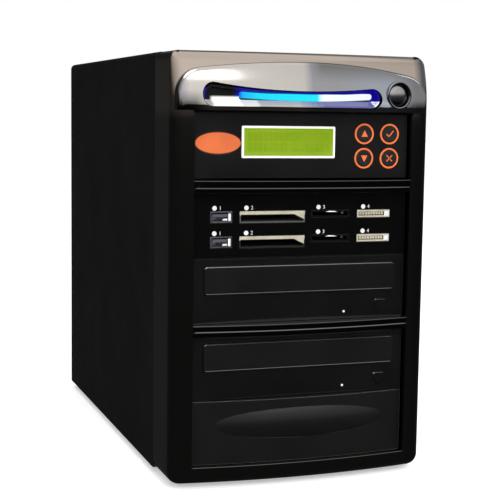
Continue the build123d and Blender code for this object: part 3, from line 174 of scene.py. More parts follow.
caseBlack = finish("case powder coat", {
    "colour": (0.0052, 0.0052, 0.0054), "second": (0.0070, 0.0070, 0.0072), "mottle": 14,
    "rough": (0.36, 0.44), "smudge": 22, "grain": 2600, "relief": 0.3, "depth": 0.03, "shine": 0.1,
})
zincSheet = finish("zinc plated sheet", {
    "colour": (0.47, 0.48, 0.48), "second": (0.52, 0.53, 0.525), "mottle": 60,
    "rough": (0.36, 0.42), "smudge": 90, "grain": 1500, "relief": 0.25, "metal": 1,
})
bezelPearl = finish("bezel pearl graphite", {
    **pearl, "colour": (0.35, 0.295, 0.25), "second": (0.385, 0.32, 0.275), "mottle": 11,
    "rough": (0.10, 0.14), "smudge": 16,
    "zones": (
        # painted shade: everything below the brow darker, where less light falls
        ((("Z", -10, 242, 3),), (0.11, 0.105, 0.10)),
        # painted shade: the right end darker
        ((("X", 80.5, 200, 3),), (0.085, 0.085, 0.085)),
        # painted shade on the fronts of the two bars
        ((bays, ("Z", 100.4, 106.8, 0.3)), (0.03, 0.03, 0.03)),
        ((bays, ("Z", 192.8, 199.6, 0.3)), (0.03, 0.03, 0.03)),
        # painted highlight: the ribs a lighter tint so that their glint shows
        ((bays, ("Z", 102.8, 104, 0.1)), (0.13, 0.128, 0.125)),
        ((bays, ("Z", 194.7, 195.9, 0.1)), (0.09, 0.088, 0.085)),
        # painted shade under the brow's foot
        ((("X", -76, 76, 0.5), ("Z", 243, 247, 0.3)), (0.03, 0.03, 0.03)),
    ),
})
browPearl = finish("brow pearl graphite", {
    **pearl, "colour": (0.40, 0.375, 0.35), "second": (0.43, 0.405, 0.375), "mottle": 14, "smudge": 20,
    "zones": (
        # painted shade and reflection across the brow: its right half darker and bluer, its right end darker
        # still
        ((("X", -3, 200, 3),), (0.25, 0.25, 0.262)),
        ((("X", 30, 200, 14),), (0.27, 0.285, 0.325)),
        ((("X", 66, 200, 9),), (0.16, 0.16, 0.165)),
        # painted shade at the left end, and deeper on the left underside
        ((("X", -200, -83, 3),), (0.24, 0.24, 0.26)),
        ((("X", -200, -72, 4), ("Z", 240, 253, 4)), (0.12, 0.112, 0.105)),
        ((("X", -200, -76, 4), ("Z", 240, 248.5, 3)), (0.035, 0.033, 0.032)),
        # painted shade at the upper right
        ((("X", 2, 200, 5), ("Z", 269, 290, 6)), (0.13, 0.125, 0.12)),
    ),
})
# the edge colours of these four finishes paint a highlight along their rounded edges, brightest on the blank
# cover
panelBlack = finish("panel fine texture", {
    **fineTexture, "colour": (0.0037, 0.0037, 0.0038), "second": (0.0051, 0.0050, 0.0050),
    "shine": 0.45, "edge": (0.028, 0.027, 0.026),
})
driveBlack = finish("drive plate fine texture", {
    **fineTexture, "colour": (0.0016, 0.0016, 0.0016), "second": (0.0023, 0.0023, 0.0022),
    "rough": (0.14, 0.18), "relief": 0.1, "edge": (0.02, 0.019, 0.018),
})
readerBlack = finish("reader panel fine texture", {
    **fineTexture, "colour": (0.0009, 0.0009, 0.0010), "second": (0.0013, 0.0013, 0.0013),
    "shine": 0.25, "edge": (0.03, 0.029, 0.028),
})
blankBlack = finish("blank cover texture", {
    **fineTexture, "colour": (0.0034, 0.0033, 0.0033), "second": (0.0044, 0.0043, 0.0042),
    "rough": (0.36, 0.44), "relief": 0.2, "shine": 0.22, "edge": (0.28, 0.27, 0.26), "edgeWidth": 0.5,
})
slotGloss = finish("slot liner satin", {
    "colour": (0.003, 0.003, 0.0035), "second": (0.005, 0.005, 0.0055), "mottle": 20,
    "shine": 0.2, "rough": (0.24, 0.32), "smudge": 30, "grain": 900, "relief": 0.04,
    "zones": (
        # painted light from the bar on the liner: a pale ledge below it, violet under its right half, a painted
        # highlight at the ledge's right end, a brighter left end
        ((("Z", 240, 251.2, 0.2),), (0.42, 0.38, 0.365)),
        ((("Z", 240, 251.2, 0.2), ("X", 0, 60, 9)), (0.12, 0.12, 0.29)),
        ((("Z", 240, 251.6, 0.2), ("X", 44.2, 60, 0.4)), (0.85, 0.84, 0.86)),
        ((("Z", 240, 253.2, 0.7), ("X", -64.7, -46, 1)), (0.62, 0.6, 0.59)),
    ),
    # the liner is no lamp: its faint glow and the glowing zones are painted light, deep blue on the back wall
    # and roof, a violet line under the bar, white at the ledge's left end, blue at the far left
    "glow": 1.0, "glowColour": (0, 0, 0), "glowSecond": (0.0005, 0.0005, 0.001),
    "glowZones": (
        ((("Z", 251.3, 270, 0.4), ("X", -49, 60, 2)), (0.003, 0.0, 0.235)),
        ((("Z", 250.5, 251.5, 0.2), ("X", -46, 44, 1)), (0.035, 0.012, 0.16)),
        ((("Z", 240, 253.2, 0.7), ("X", -64.7, -35, 1)), (0.34, 0.33, 0.33)),
        ((("X", -90, -69.5, 0.8), ("Z", 249, 270, 1)), (0.01, 0.005, 0.30)),
    ),
})
domeGloss = finish("power button gloss", {
    "colour": (0.28, 0.277, 0.272), "second": (0.37, 0.365, 0.36), "mottle": 90,
    "rough": (0.2, 0.28), "smudge": 120, "grain": 1400, "relief": 0.12,
    # painted shade: the button's lower part darker
    "zones": (((("Z", 240, 252.4, 1.5),), (0.03, 0.03, 0.03)),), "metal": 1, "coat": 0.1,
})
boardGreen = finish("solder mask", {
    "colour": (0.010, 0.10, 0.035), "second": (0.016, 0.15, 0.055), "mottle": 300,
    "rough": (0.28, 0.42), "smudge": 180, "grain": 900, "relief": 0.3, "depth": 0.05,
})
innerBlack = finish("inner moulding", {
    "colour": (0.014, 0.014, 0.015), "second": (0.021, 0.021, 0.022), "mottle": 70,
    "rough": (0.42, 0.58), "smudge": 60, "grain": 2200, "relief": 0.3, "depth": 0.04, "shine": 0.4,
})
keyBlack = finish("key gloss", {
    "colour": (0.008, 0.008, 0.008), "second": (0.013, 0.012, 0.012), "mottle": 150,
    "rough": (0.24, 0.34), "smudge": 200, "grain": 1800, "relief": 0.15, "shine": 0.4,
})
orangePrint = finish("orange gloss", {
    "colour": (0.60, 0.115, 0.028), "second": (0.68, 0.145, 0.036), "mottle": 120,
    "rough": (0.26, 0.36), "smudge": 90, "grain": 1600, "relief": 0.12,
})
badgeOrange = finish("badge orange", {
    "colour": (0.49, 0.105, 0.03), "second": (0.56, 0.125, 0.036), "mottle": 60,
    "rough": (0.3, 0.4), "smudge": 90, "grain": 1600, "relief": 0.08, "shine": 0.3,
})
badgeRed = finish("badge edge", {
    "colour": (0.06, 0.008, 0.004), "second": (0.08, 0.012, 0.005), "mottle": 120,
    "rough": (0.3, 0.4), "smudge": 90, "grain": 1600, "relief": 0.12,
})
whiteFrame = finish("white display frame", {
    "colour": (0.72, 0.74, 0.68), "second": (0.8, 0.81, 0.76), "mottle": 80,
    "rough": (0.3, 0.42), "smudge": 90, "grain": 1400, "relief": 0.15,
    # a faint painted glow on the frame
    "glow": 0.03, "glowColour": (0.8, 0.85, 0.7), "glowSecond": (0.7, 0.8, 0.6),
})
displayGreen = finish("display backlight", {
    "colour": (0.128, 0.208, 0.004), "second": (0.152, 0.235, 0.006), "mottle": 30,
    "shine": 0.15, "rough": (0.12, 0.2), "smudge": 60, "grain": 900, "relief": 0.05,
    "glow": 0.16, "glowColour": (0.30, 0.50, 0.02), "glowSecond": (0.36, 0.56, 0.03),
})
cellGreen = finish("display cells", {
    "colour": (0.115, 0.19, 0.004), "second": (0.135, 0.21, 0.006), "mottle": 60,
    "shine": 0.15, "rough": (0.2, 0.3), "smudge": 60, "grain": 900, "relief": 0.05,
    "glow": 0.15, "glowColour": (0.28, 0.48, 0.02), "glowSecond": (0.33, 0.53, 0.025),
})
nickel = finish("nickel plate", {
    "colour": (0.62, 0.62, 0.63), "second": (0.72, 0.72, 0.72), "mottle": 120,
    "rough": (0.16, 0.3), "smudge": 160, "grain": 1200, "relief": 0.15, "metal": 1,
})
creamPlastic = finish("cream moulding", cream)
wideCream = finish("wide socket moulding", {**cream, "zones": (
    # painted shade inside the sockets: deep in the bottom row, lighter in the top row
    ((("Z", 150, 161.5, 0.15),), (0.009, 0.009, 0.008)), ((("Z", 170, 177.7, 0.15),), (0.06, 0.064, 0.064)),
)})
portMetal = finish("port shell", {
    "colour": (0.34, 0.34, 0.40), "second": (0.46, 0.46, 0.52), "mottle": 90,
    "rough": (0.22, 0.34), "smudge": 120, "grain": 1200, "relief": 0.15, "metal": 1,
})
tongueGrey = finish("port tongue", {
    "colour": (0.055, 0.053, 0.07), "second": (0.075, 0.073, 0.092), "mottle": 90,
    "rough": (0.3, 0.42), "smudge": 90, "grain": 1500, "relief": 0.2,
})
# white for small bright parts, and for a painted highlight in the ports
springTabAndHighlight = finish("bright spring tab and painted highlight", {
    "colour": (0.7, 0.7, 0.72), "second": (0.8, 0.8, 0.8), "mottle": 200,
    "rough": (0.35, 0.5), "smudge": 160, "grain": 1500, "relief": 0.1,
})
goldContact = finish("gold flash", {
    "colour": (0.66, 0.43, 0.13), "second": (0.74, 0.52, 0.2), "mottle": 400,
    "rough": (0.2, 0.34), "smudge": 300, "grain": 1500, "relief": 0.1, "metal": 1,
})
footRubber = finish("foot rubber", {
    "colour": (0.012, 0.012, 0.012), "second": (0.022, 0.021, 0.02), "mottle": 220,
    "rough": (0.7, 0.85), "smudge": 160, "grain": 1600, "relief": 0.6, "depth": 0.08, "shine": 0.25,
})
screwZinc = finish("black zinc", {
    "colour": (0.10, 0.10, 0.105), "second": (0.17, 0.165, 0.16), "mottle": 260,
    "rough": (0.26, 0.42), "smudge": 320, "grain": 1800, "relief": 0.25, "metal": 1,
})
pinLamp = finish("drive lamp lens", {
    **lens, "colour": (0.006, 0.006, 0.006), "second": (0.01, 0.01, 0.01), "mottle": 300,
})
# lamp lenses, and a painted glint in the ports
lampLensAndGlint = finish("status lamp lens and painted glint", {
    **lens, "colour": (0.52, 0.53, 0.54), "second": (0.62, 0.63, 0.63), "mottle": 500,
})
printWhite = finish("white print", {
    "colour": (0.5, 0.5, 0.49), "second": (0.62, 0.62, 0.6), "mottle": 900,
    "rough": (0.45, 0.6), "smudge": 500, "grain": 1500, "relief": 0.1, "depth": 0.01,
})

barGlow = {
    "ends": (-47, 44), "strength": 1.05, "frost": 900, "relief": 0.2, "depth": 0.03,
    "stops": ((0.0, (0.0, 0.1, 0.9)), (0.03, (0.01, 0.45, 0.93)), (0.14, (0.012, 0.70, 0.93)),
              (0.575, (0.015, 0.80, 0.94)), (0.6, (0.7, 0.88, 1.0)), (0.63, (0.93, 0.97, 1.0)),
              (1.0, (0.84, 0.9, 1.0))),
}


def lightBarFinish():
    # lit lens: deep blue at its left end, then cyan, nearly white on the right
    material, tree, shader = newMaterial("light bar lens")
    place = addNode(tree, "ShaderNodeTexCoord").outputs["Object"]
    split = addNode(tree, "ShaderNodeSeparateXYZ", {0: place})
    along = span(tree, split.outputs[0], *[end * mm for end in barGlow["ends"]])
    frost = addNode(tree, "ShaderNodeTexNoise", {"Vector": place, "Scale": barGlow["frost"]})
    bump = addNode(tree, "ShaderNodeBump", {
        "Height": frost.outputs["Fac"], "Strength": barGlow["relief"], "Distance": barGlow["depth"] * mm})
    setInputs(tree, shader, {
        "Emission Color": colourRamp(tree, along, barGlow["stops"]), "Emission Strength": barGlow["strength"],
        "Base Color": (0.004, 0.01, 0.012), "Specular IOR Level": 0.15, "Roughness": 0.25,
        "Normal": bump.outputs["Normal"],
    })
    return material


lightLens = lightBarFinish()
print("finishes made:", len(bpy.data.materials))

# helpers for pieces
def place(piece, body, slot, *stoodFor):
    # a finished piece joins the object
    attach(piece, body)
    if stoodFor:
        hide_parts(*stoodFor)
    return piece


def meshFrom(name, shape):
    mesh = bpy.data.meshes.new(name)
    shape.to_mesh(mesh)
    shape.free()
    return mesh


def addObject(name, mesh, material):
    # an object whose mesh has one material
    mesh.materials.clear()
    mesh.materials.append(material)
    piece = bpy.data.objects.new(name, mesh)
    bpy.context.scene.collection.objects.link(piece)
    return piece


def solidify(name, points, faces, material, normals=None):
    # points in millimetres, normals one for each point
    mesh = bpy.data.meshes.new(name)
    mesh.from_pydata([Vector(point) * mm for point in points], [], faces)
    mesh.polygons.foreach_set("use_smooth", [True] * len(mesh.polygons))
    if normals:
        mesh.normals_split_custom_set_from_vertices([Vector(normal).normalized() for normal in normals])
    mesh.update()
    return addObject(name, mesh, material)


def settle(piece):
    # the evaluated result becomes the piece's plain mesh
    graph = bpy.context.evaluated_depsgraph_get()
    bpy.context.view_layer.update()
    mesh = bpy.data.meshes.new_from_object(
        piece.evaluated_get(graph), preserve_all_data_layers=True, depsgraph=graph)
    piece.modifiers.clear()
    piece.data = mesh
    return piece


def flatAreas(shape, tolerance):
    # for each face, the area of the flat stretch that it belongs to
    areas = [0.0] * len(shape.faces)
    seen = set()
    for first in shape.faces:
        if first.index in seen:
            continue
        seen.add(first.index)
        stretch, waiting = [first], [first]
        while waiting:
            for edge in waiting.pop().edges:
                for face in edge.link_faces:
                    if face.index not in seen and face.normal.angle(first.normal, 1) < tolerance:
                        seen.add(face.index)
                        stretch.append(face)
                        waiting.append(face)
        total = sum(face.calc_area() for face in stretch)
        for face in stretch:
            areas[face.index] = total
    return areas


# angles in degrees, distance in metres
softening = {"crease": 35, "flat": 0.5, "from": 32, "dissolve": 0.4, "merge": 4e-6, "segments": 2}


def evenShading(piece, crease=softening["crease"]):
    # flat faces shade flat and rounded edges blend into them
    shape = bmesh.new()
    shape.from_mesh(piece.data)
    shape.normal_update()
    areas = flatAreas(shape, radians(softening["flat"]))
    normals = [None] * sum(len(face.loops) for face in shape.faces)
    starts = [face.loop_start for face in piece.data.polygons]
    for vert in shape.verts:
        left = set(vert.link_faces)
        while left:
            group, waiting = [], [left.pop()]
            while waiting:
                face = waiting.pop()
                group.append(face)
                for edge in face.edges:
                    if vert in edge.verts and edge.calc_face_angle(pi) < radians(crease):
                        for other in edge.link_faces:
                            if other in left:
                                left.remove(other)
                                waiting.append(other)
            mean = sum((face.normal * areas[face.index] for face in group), Vector())
            for face in group:
                corner = [loop.vert for loop in face.loops].index(vert)
                normals[starts[face.index] + corner] = mean.normalized() if mean.length > 0 else face.normal
    shape.free()
    piece.data.normals_split_custom_set(normals)
    return piece


def softenEdges(piece, width, segments=softening["segments"], crease=softening["crease"]):
    if width > 0:
        edge = piece.modifiers.new("edge", "BEVEL")
        edge.width = width * mm
        edge.segments = segments
        edge.limit_method = "ANGLE"
        edge.angle_limit = radians(softening["from"])
        edge.use_clamp_overlap = True
        settle(piece)
    return evenShading(piece, crease)


def dress(node, material, slot, width, reshape=None, crease=softening["crease"]):
    # a merged copy of a CAD node with softened edges stands for it
    shape = bmesh.new()
    shape.from_mesh(nodes[node].data)
    bmesh.ops.remove_doubles(shape, verts=shape.verts, dist=softening["merge"])
    bmesh.ops.dissolve_limit(shape, angle_limit=radians(softening["dissolve"]), verts=shape.verts,
                             edges=shape.edges)
    for face in shape.faces:
        face.smooth = True
    piece = addObject(node + "_skin", meshFrom(node + "_skin", shape), material)
    softenEdges(piece, width, crease=crease)
    if reshape:
        reshape(piece.data)
    return place(piece, bodyOf[node], slot, node)


def circle(radius, steps, x=0.0, z=0.0):
    turns = [2 * pi * step / steps for step in range(steps)]
    return [(x + radius * cos(turn), z + radius * sin(turn)) for turn in turns]


def lathe(name, profile, origin, axis, material, steps=72):
    # profile of (radius, height) points turned about an axis
    lift = Vector(axis).normalized()
    side = lift.orthogonal().normalized()
    third = lift.cross(side)
    points, faces = [], []
    for radius, height in profile:
        for along, across in circle(radius, steps):
            points.append(Vector(origin) + lift * height + side * along + third * across)
    for ring in range(len(profile) - 1):
        for step in range(steps):
            after = (step + 1) % steps
            faces.append((ring * steps + step, ring * steps + after,
                          (ring + 1) * steps + after, (ring + 1) * steps + step))
    piece = solidify(name, points, faces, material)
    shape = bmesh.new()
    shape.from_mesh(piece.data)
    bmesh.ops.remove_doubles(shape, verts=shape.verts, dist=1e-6)
    bmesh.ops.recalc_face_normals(shape, faces=shape.faces)
    shape.to_mesh(piece.data)
    shape.free()
    return piece


def blockGrid(name, sizes, centre, material, body, slot):
    # Geometry Nodes: small blocks in rows and columns across the front, for contacts, cells and pins
    tree = bpy.data.node_groups.new(name + " grid", "GeometryNodeTree")
    wanted = {
        "Columns": ("NodeSocketInt", sizes["columns"]), "Rows": ("NodeSocketInt", sizes["rows"]),
        "Column pitch": ("NodeSocketFloat", sizes["columnPitch"] * mm),
        "Row pitch": ("NodeSocketFloat", sizes["rowPitch"] * mm),
        "Block": ("NodeSocketVector", tuple(size * mm for size in sizes["block"])),
        "Centre": ("NodeSocketVector", tuple(value * mm for value in centre)),
    }
    sockets = {label: tree.interface.new_socket(label, in_out="INPUT", socket_type=kind)
               for label, (kind, _) in wanted.items()}
    tree.interface.new_socket("Geometry", in_out="OUTPUT", socket_type="NodeSocketGeometry")
    given = addNode(tree, "NodeGroupInput").outputs

    def reach(count, pitch):
        return maths(tree, "MULTIPLY", maths(tree, "SUBTRACT", given[count], 1), given[pitch])

    grid = addNode(tree, "GeometryNodeMeshGrid", {
        "Vertices X": given["Columns"], "Vertices Y": given["Rows"],
        "Size X": reach("Columns", "Column pitch"), "Size Y": reach("Rows", "Row pitch")})
    stand = addNode(tree, "GeometryNodeTransform", {
        "Geometry": grid.outputs["Mesh"], "Translation": given["Centre"], "Rotation": (pi / 2, 0, 0)})
    block = addNode(tree, "GeometryNodeMeshCube", {"Size": given["Block"]})
    spread = addNode(tree, "GeometryNodeInstanceOnPoints", {
        "Points": stand.outputs["Geometry"], "Instance": block.outputs["Mesh"]})
    whole = addNode(tree, "GeometryNodeRealizeInstances", {"Geometry": spread.outputs["Instances"]})
    painted = addNode(tree, "GeometryNodeSetMaterial", {
        "Geometry": whole.outputs["Geometry"], "Material": material})
    addNode(tree, "NodeGroupOutput", {"Geometry": painted.outputs["Geometry"]})
    piece = bpy.data.objects.new(name, bpy.data.meshes.new(name))
    bpy.context.scene.collection.objects.link(piece)
    rows = piece.modifiers.new("rows", "NODES")
    rows.node_group = tree
    for label, socket in sockets.items():
        rows[socket.identifier] = wanted[label][1]
    settle(piece)
    softenEdges(piece, sizes.get("edge", 0.05), 1)
    return place(piece, body, slot)


def inside(x, z, loop):
    # whether a point of the front view lies inside a closed loop
    crossings = 0
    for (ax, az), (bx, bz) in zip(loop, loop[1:] + loop[:1]):
        if (az > z) != (bz > z) and x < ax + (z - az) / (bz - az) * (bx - ax):
            crossings += 1
    return crossings % 2 == 1


def away(x, z, loop):
    # shortest distance to a loop's points
    return min((x - px) ** 2 + (z - pz) ** 2 for px, pz in loop) ** 0.5


def sheetBetween(outer, holes, pitch):
    # triangles over the outer loop's area, less the holes
    points, edges = [], []
    for loop in (outer, *holes):
        start, count = len(points), len(loop)
        points += [Vector(point) for point in loop]
        edges += [(start + index, start + (index + 1) % count) for index in range(count)]
    lowX, highX = min(p[0] for p in outer), max(p[0] for p in outer)
    lowZ, highZ = min(p[1] for p in outer), max(p[1] for p in outer)
    near = 0.6 * pitch
    for column in range(int((highX - lowX) / pitch)):
        for row in range(int((highZ - lowZ) / pitch)):
            x = lowX + (column + 0.5 + 0.5 * (row % 2)) * pitch
            z = lowZ + (row + 0.5) * pitch
            if inside(x, z, outer) and away(x, z, outer) > near:
                if not any(inside(x, z, hole) or away(x, z, hole) < near for hole in holes):
                    points.append(Vector((x, z)))
    flat, _, faces, _, _, _ = delaunay_2d_cdt(points, edges, [], 0, 1e-5)
    kept = []
    for face in faces:
        x = sum(flat[index][0] for index in face) / 3
        z = sum(flat[index][1] for index in face) / 3
        if inside(x, z, outer) and not any(inside(x, z, hole) for hole in holes):
            kept.append(tuple(face))
    return [tuple(point) for point in flat], kept

# bezel
bow = {"radius": 514.11, "axisY": 350.61}


def bowY(x, ahead=0.0):
    return bow["axisY"] - sqrt((bow["radius"] + ahead) ** 2 - x ** 2)


bezel = {
    "halfWidth": 89.5, "chin": 3.2, "top": 282.0, "back": -115.0, "corner": 9.0, "topRound": 6.0,
    "chinRound": 8.0, "openingHalf": 75.0, "edgeRound": 0.45, "cornerSteps": 12, "roundSteps": 8,
    "openings": ((15.3, 99.9), (107.7, 192.3), (200.4, 243.45)),
    "hidden": (246.0, 265.0),     # under the brow, left open for the slot
    "leanFrom": 250.0, "leanRadius": 72.0, "sideLean": (0.12, 0.38), "leanStart": 3.0, "leanRun": 26.0,
    "ribs": (103.4, 195.3), "ribHalf": 0.5, "ribRise": 0.45,
    "sideRows": (-115.0, -121.0, -127.0, -132.0, -137.0, -143.0), "beside": (2.4, 77.2), "columns": 48,
    "margin": 2.0,
    "chinTop": 13.2, "upperRows": (252.0, 255.0, 258.0, 261.0, 263.0, 267.0, 269.0, 271.0, 273.0, 275.0),
}


def planPoints():
    # the bezel's plan from its left back edge round the bow to its right back edge: x, y, normal
    half, corner, opening = bezel["halfWidth"], bezel["corner"], bezel["openingHalf"]
    centreX = half - corner
    reach = bow["radius"] - corner
    centreY = bow["axisY"] - sqrt(reach ** 2 - centreX ** 2)
    last = atan2(centreX / reach, (bow["axisY"] - centreY) / reach)
    side = [(-half, y, -1.0, 0.0) for y in bezel["sideRows"]]
    steps = bezel["cornerSteps"]
    for turn in [step / steps * (pi / 2 - last) for step in range(steps + 1)]:
        side.append((-centreX - corner * cos(turn), centreY - corner * sin(turn), -cos(turn), -sin(turn)))
    inwards, outer = bezel["beside"]
    bend = centreX * bow["radius"] / reach - inwards
    columns, margin = bezel["columns"], bezel["margin"]
    across = [-bend, -outer, -opening]
    across += [-opening + margin + step * 2 * (opening - margin) / columns for step in range(columns + 1)]
    across += [opening, outer, bend]
    front = [(x, bowY(x), x / bow["radius"], -sqrt(1 - (x / bow["radius"]) ** 2)) for x in across]
    return side + front + [(-x, y, -nx, ny) for x, y, nx, ny in reversed(side)]


def leanBack(z):
    # the shell's upper part curves away to the back
    return max(0.0, z - bezel["leanFrom"]) ** 2 / (2 * bezel["leanRadius"])


def sideLean(x, y):
    # the sides lean in towards the front, the right one more, and stay flush with the case at the back
    share = min(1.0, max(0.0, (bezel["back"] - bezel["leanStart"] - y) / bezel["leanRun"]))
    return bezel["sideLean"][x > 0] * share * share * (3 - 2 * share)


def ribRise(x, z):
    # a low rib runs along the middle of each bar
    return bezel["ribRise"] if abs(x) < bezel["openingHalf"] and z in bezel["ribs"] else 0.0


def shellRows():
    # heights of the shell's rows and how far each is set in by the rounds at the chin and the top
    steps = bezel["roundSteps"]
    turns = [pi / 2 * step / steps for step in range(steps + 1)]
    rows = [(bezel["chin"] + bezel["chinRound"] * (1 - sin(turn)), bezel["chinRound"] * (1 - cos(turn)))
            for turn in reversed(turns)]
    heights = [bezel["chinTop"], *bezel["hidden"], *bezel["upperRows"]]
    for low, high in bezel["openings"]:
        first, last = low + bezel["margin"], high - bezel["margin"]
        heights += [low, *[first + (last - first) * step / 4 for step in range(5)], high]
    heights += [rib + side * bezel["ribHalf"] for rib in bezel["ribs"] for side in (-1, 0, 1)]
    rows += [(z, 0.0) for z in sorted(heights)]
    return rows + [(bezel["top"] - bezel["topRound"] * (1 - sin(turn)), bezel["topRound"] * (1 - cos(turn)))
                   for turn in turns]


def bezelShell():
    plan, rows = planPoints(), shellRows()
    shape = bmesh.new()

    def shellPoint(x, y, nx, ny, z, inset):
        outwards = inset + leanBack(z) - ribRise(x, z)
        return x - (inset + sideLean(x, y) * leanBack(z)) * nx, y - outwards * ny, z

    grid = [[shape.verts.new(shellPoint(*spot, z, inset)) for spot in plan] for z, inset in rows]
    gaps = [*bezel["openings"], bezel["hidden"]]
    for lower, upper, (z, _), (above, _) in zip(grid, grid[1:], rows, rows[1:]):
        middle = (z + above) / 2
        for column in range(len(plan) - 1):
            x = (plan[column][0] + plan[column + 1][0]) / 2
            if abs(x) < bezel["openingHalf"] and any(low < middle < high for low, high in gaps):
                continue
            shape.faces.new((lower[column], lower[column + 1], upper[column + 1], upper[column]))
    shape.faces.new(grid[-1])
    shape.faces.new(list(reversed(grid[0])))
    for vert in [v for v in shape.verts if not v.link_faces]:
        shape.verts.remove(vert)
    rims, near = [], 0.01
    for low, high in bezel["openings"]:
        rims += [edge for edge in shape.edges if len(edge.link_faces) == 1 and all(
            abs(v.co.x) < bezel["openingHalf"] + near and low - near <= v.co.z <= high + near
            for v in edge.verts)]
    walls = bmesh.ops.extrude_edge_only(shape, edges=rims)
    for vert in [item for item in walls["geom"] if isinstance(item, bmesh.types.BMVert)]:
        vert.co.y = bezel["back"]
    bmesh.ops.recalc_face_normals(shape, faces=shape.faces)
    bmesh.ops.bevel(shape, geom=rims, offset=bezel["edgeRound"], segments=3, profile=0.5, affect="EDGES")
    for vert in shape.verts:
        vert.co *= mm
    for face in shape.faces:
        face.smooth = True
    piece = addObject("bezel_shell", meshFrom("bezel_shell", shape), bezelPearl)
    return place(evenShading(piece, 40), "tower", "bezel_plastic", "front_bezel")


bezelShell()

brow = {
    "right": (84.0, 366.0), "left": (87.2, 560.0), "foot": 244.5, "peak": 276.0, "endRound": 16.0,
    "apex": 6.0, "apexZ": 247.2, "footRise": 4.6, "crestRise": -1.2, "edgeRound": 2.5, "lipRound": 0.5,
    "lipTurn": 0.2, "rimSteps": 6, "wall": 4.0, "pitch": 2.2, "beyond": 1.0, "clamp": 0.9,
    "sideSteps": 5, "cornerSteps": 16, "crestSteps": 30, "footSteps": 60,
}
slot = {
    "centre": -11.6, "half": 60.0, "floor": 247.1, "endHeight": 13.4, "midHeight": 9.8, "endRun": 7.0,
    "edgeRound": 0.5, "edgeSteps": 4, "depth": 9.0, "tilt": 0.1, "longSteps": 48, "endSteps": 16,
}
power = {
    "x": 60.8, "z": 255.9, "hole": 8.5, "rim": 9.2, "rimFoot": 0.5, "rimRound": 0.6, "rimTop": 6.7,
    "bore": 7.7, "boreRound": 0.5, "boreFoot": -3.0, "cap": 7.4, "capTop": 6.4, "dome": 2.2, "capRound": 0.5,
    "capEdge": (0.15, 0.25, 0.7), "capFoot": -2.8,
}


def browAhead(z):
    # how far the swelling stands ahead of the bow at a height
    if z < brow["apexZ"]:
        fall, run = brow["apex"] - brow["footRise"], brow["apexZ"] - brow["foot"]
    else:
        fall, run = brow["apex"] - brow["crestRise"], brow["peak"] + brow["beyond"] - brow["apexZ"]
    radius = (run ** 2 + fall ** 2) / (2 * fall)
    return brow["apex"] - radius + sqrt(radius ** 2 - (z - brow["apexZ"]) ** 2)


def browY(x, z):
    return bowY(x, browAhead(z))


def browNormal(x, z):
    step = 0.05
    slopeX = (browY(x + step, z) - browY(x - step, z)) / (2 * step)
    slopeZ = (browY(x, z + step) - browY(x, z - step)) / (2 * step)
    return Vector((slopeX, -1, slopeZ)).normalized()


def browSide(inset, low, half, crown):
    # one end of the outline and its part of the crest, as if on the right: x, z, outward direction
    centreX = half - brow["endRound"]
    drop = brow["peak"] - crown
    centreZ = drop + sqrt((crown - brow["endRound"]) ** 2 - centreX ** 2)
    lean = atan2(centreX, centreZ - drop)
    corner, radius = brow["endRound"] - inset, crown - inset
    rise = (centreZ - low) / brow["sideSteps"]
    side = [(half - inset, low + rise * step, 1.0, 0.0) for step in range(brow["sideSteps"] + 1)]
    for step in range(1, brow["cornerSteps"] + 1):
        turn = (pi / 2 - lean) * step / brow["cornerSteps"]
        side.append((centreX + corner * cos(turn), centreZ + corner * sin(turn), cos(turn), sin(turn)))
    for step in range(1, brow["crestSteps"]):
        turn = lean * (1 - step / brow["crestSteps"])
        side.append((radius * sin(turn), drop + radius * cos(turn), sin(turn), cos(turn)))
    return side


def browLoop(inset, lift):
    # the brow's outline set in by a distance, its foot lifted: x, z, outward direction
    low = brow["foot"] + lift
    right, left = browSide(inset, low, *brow["right"]), browSide(inset, low, *brow["left"])
    loop = right + [(0.0, brow["peak"] - inset, 0.0, 1.0)]
    loop += [(-x, z, -nx, nz) for x, z, nx, nz in reversed(left)]
    first, last, steps = -left[0][0], right[0][0], brow["footSteps"]
    return loop + [(first + (last - first) * step / steps, low, 0.0, -1.0) for step in range(1, steps)]


def smileLoop(inset):
    # the slot's outline set in by a distance: x, z
    half, ends = slot["half"] - inset, slot["endHeight"] - 2 * inset
    middle, low = slot["midHeight"] - 2 * inset, slot["floor"] + inset
    run = half - slot["endRun"]
    sag = ends - middle
    roof = (run ** 2 + sag ** 2) / (2 * sag)
    endRadius = ((ends / 2) ** 2 + slot["endRun"] ** 2) / (2 * slot["endRun"])
    endX, endZ = half - endRadius, low + ends / 2
    first = asin(min(1, ends / 2 / endRadius))
    if endRadius <= slot["endRun"]:
        first = pi - first
    xs = [-run + 2 * run * step / slot["longSteps"] for step in range(slot["longSteps"] + 1)]
    turns = [first * (2 * step / slot["endSteps"] - 1) for step in range(1, slot["endSteps"])]
    loop = [(x, low) for x in xs]
    loop += [(endX + endRadius * cos(turn), endZ + endRadius * sin(turn)) for turn in turns]
    loop += [(-x, low + middle + roof - sqrt(roof ** 2 - x ** 2)) for x in xs]
    loop += [(-endX - endRadius * cos(turn), endZ - endRadius * sin(turn)) for turn in turns]
    return [(x + slot["centre"], low + (z - low) * (1 - slot["tilt"] * x / slot["half"])) for x, z in loop]


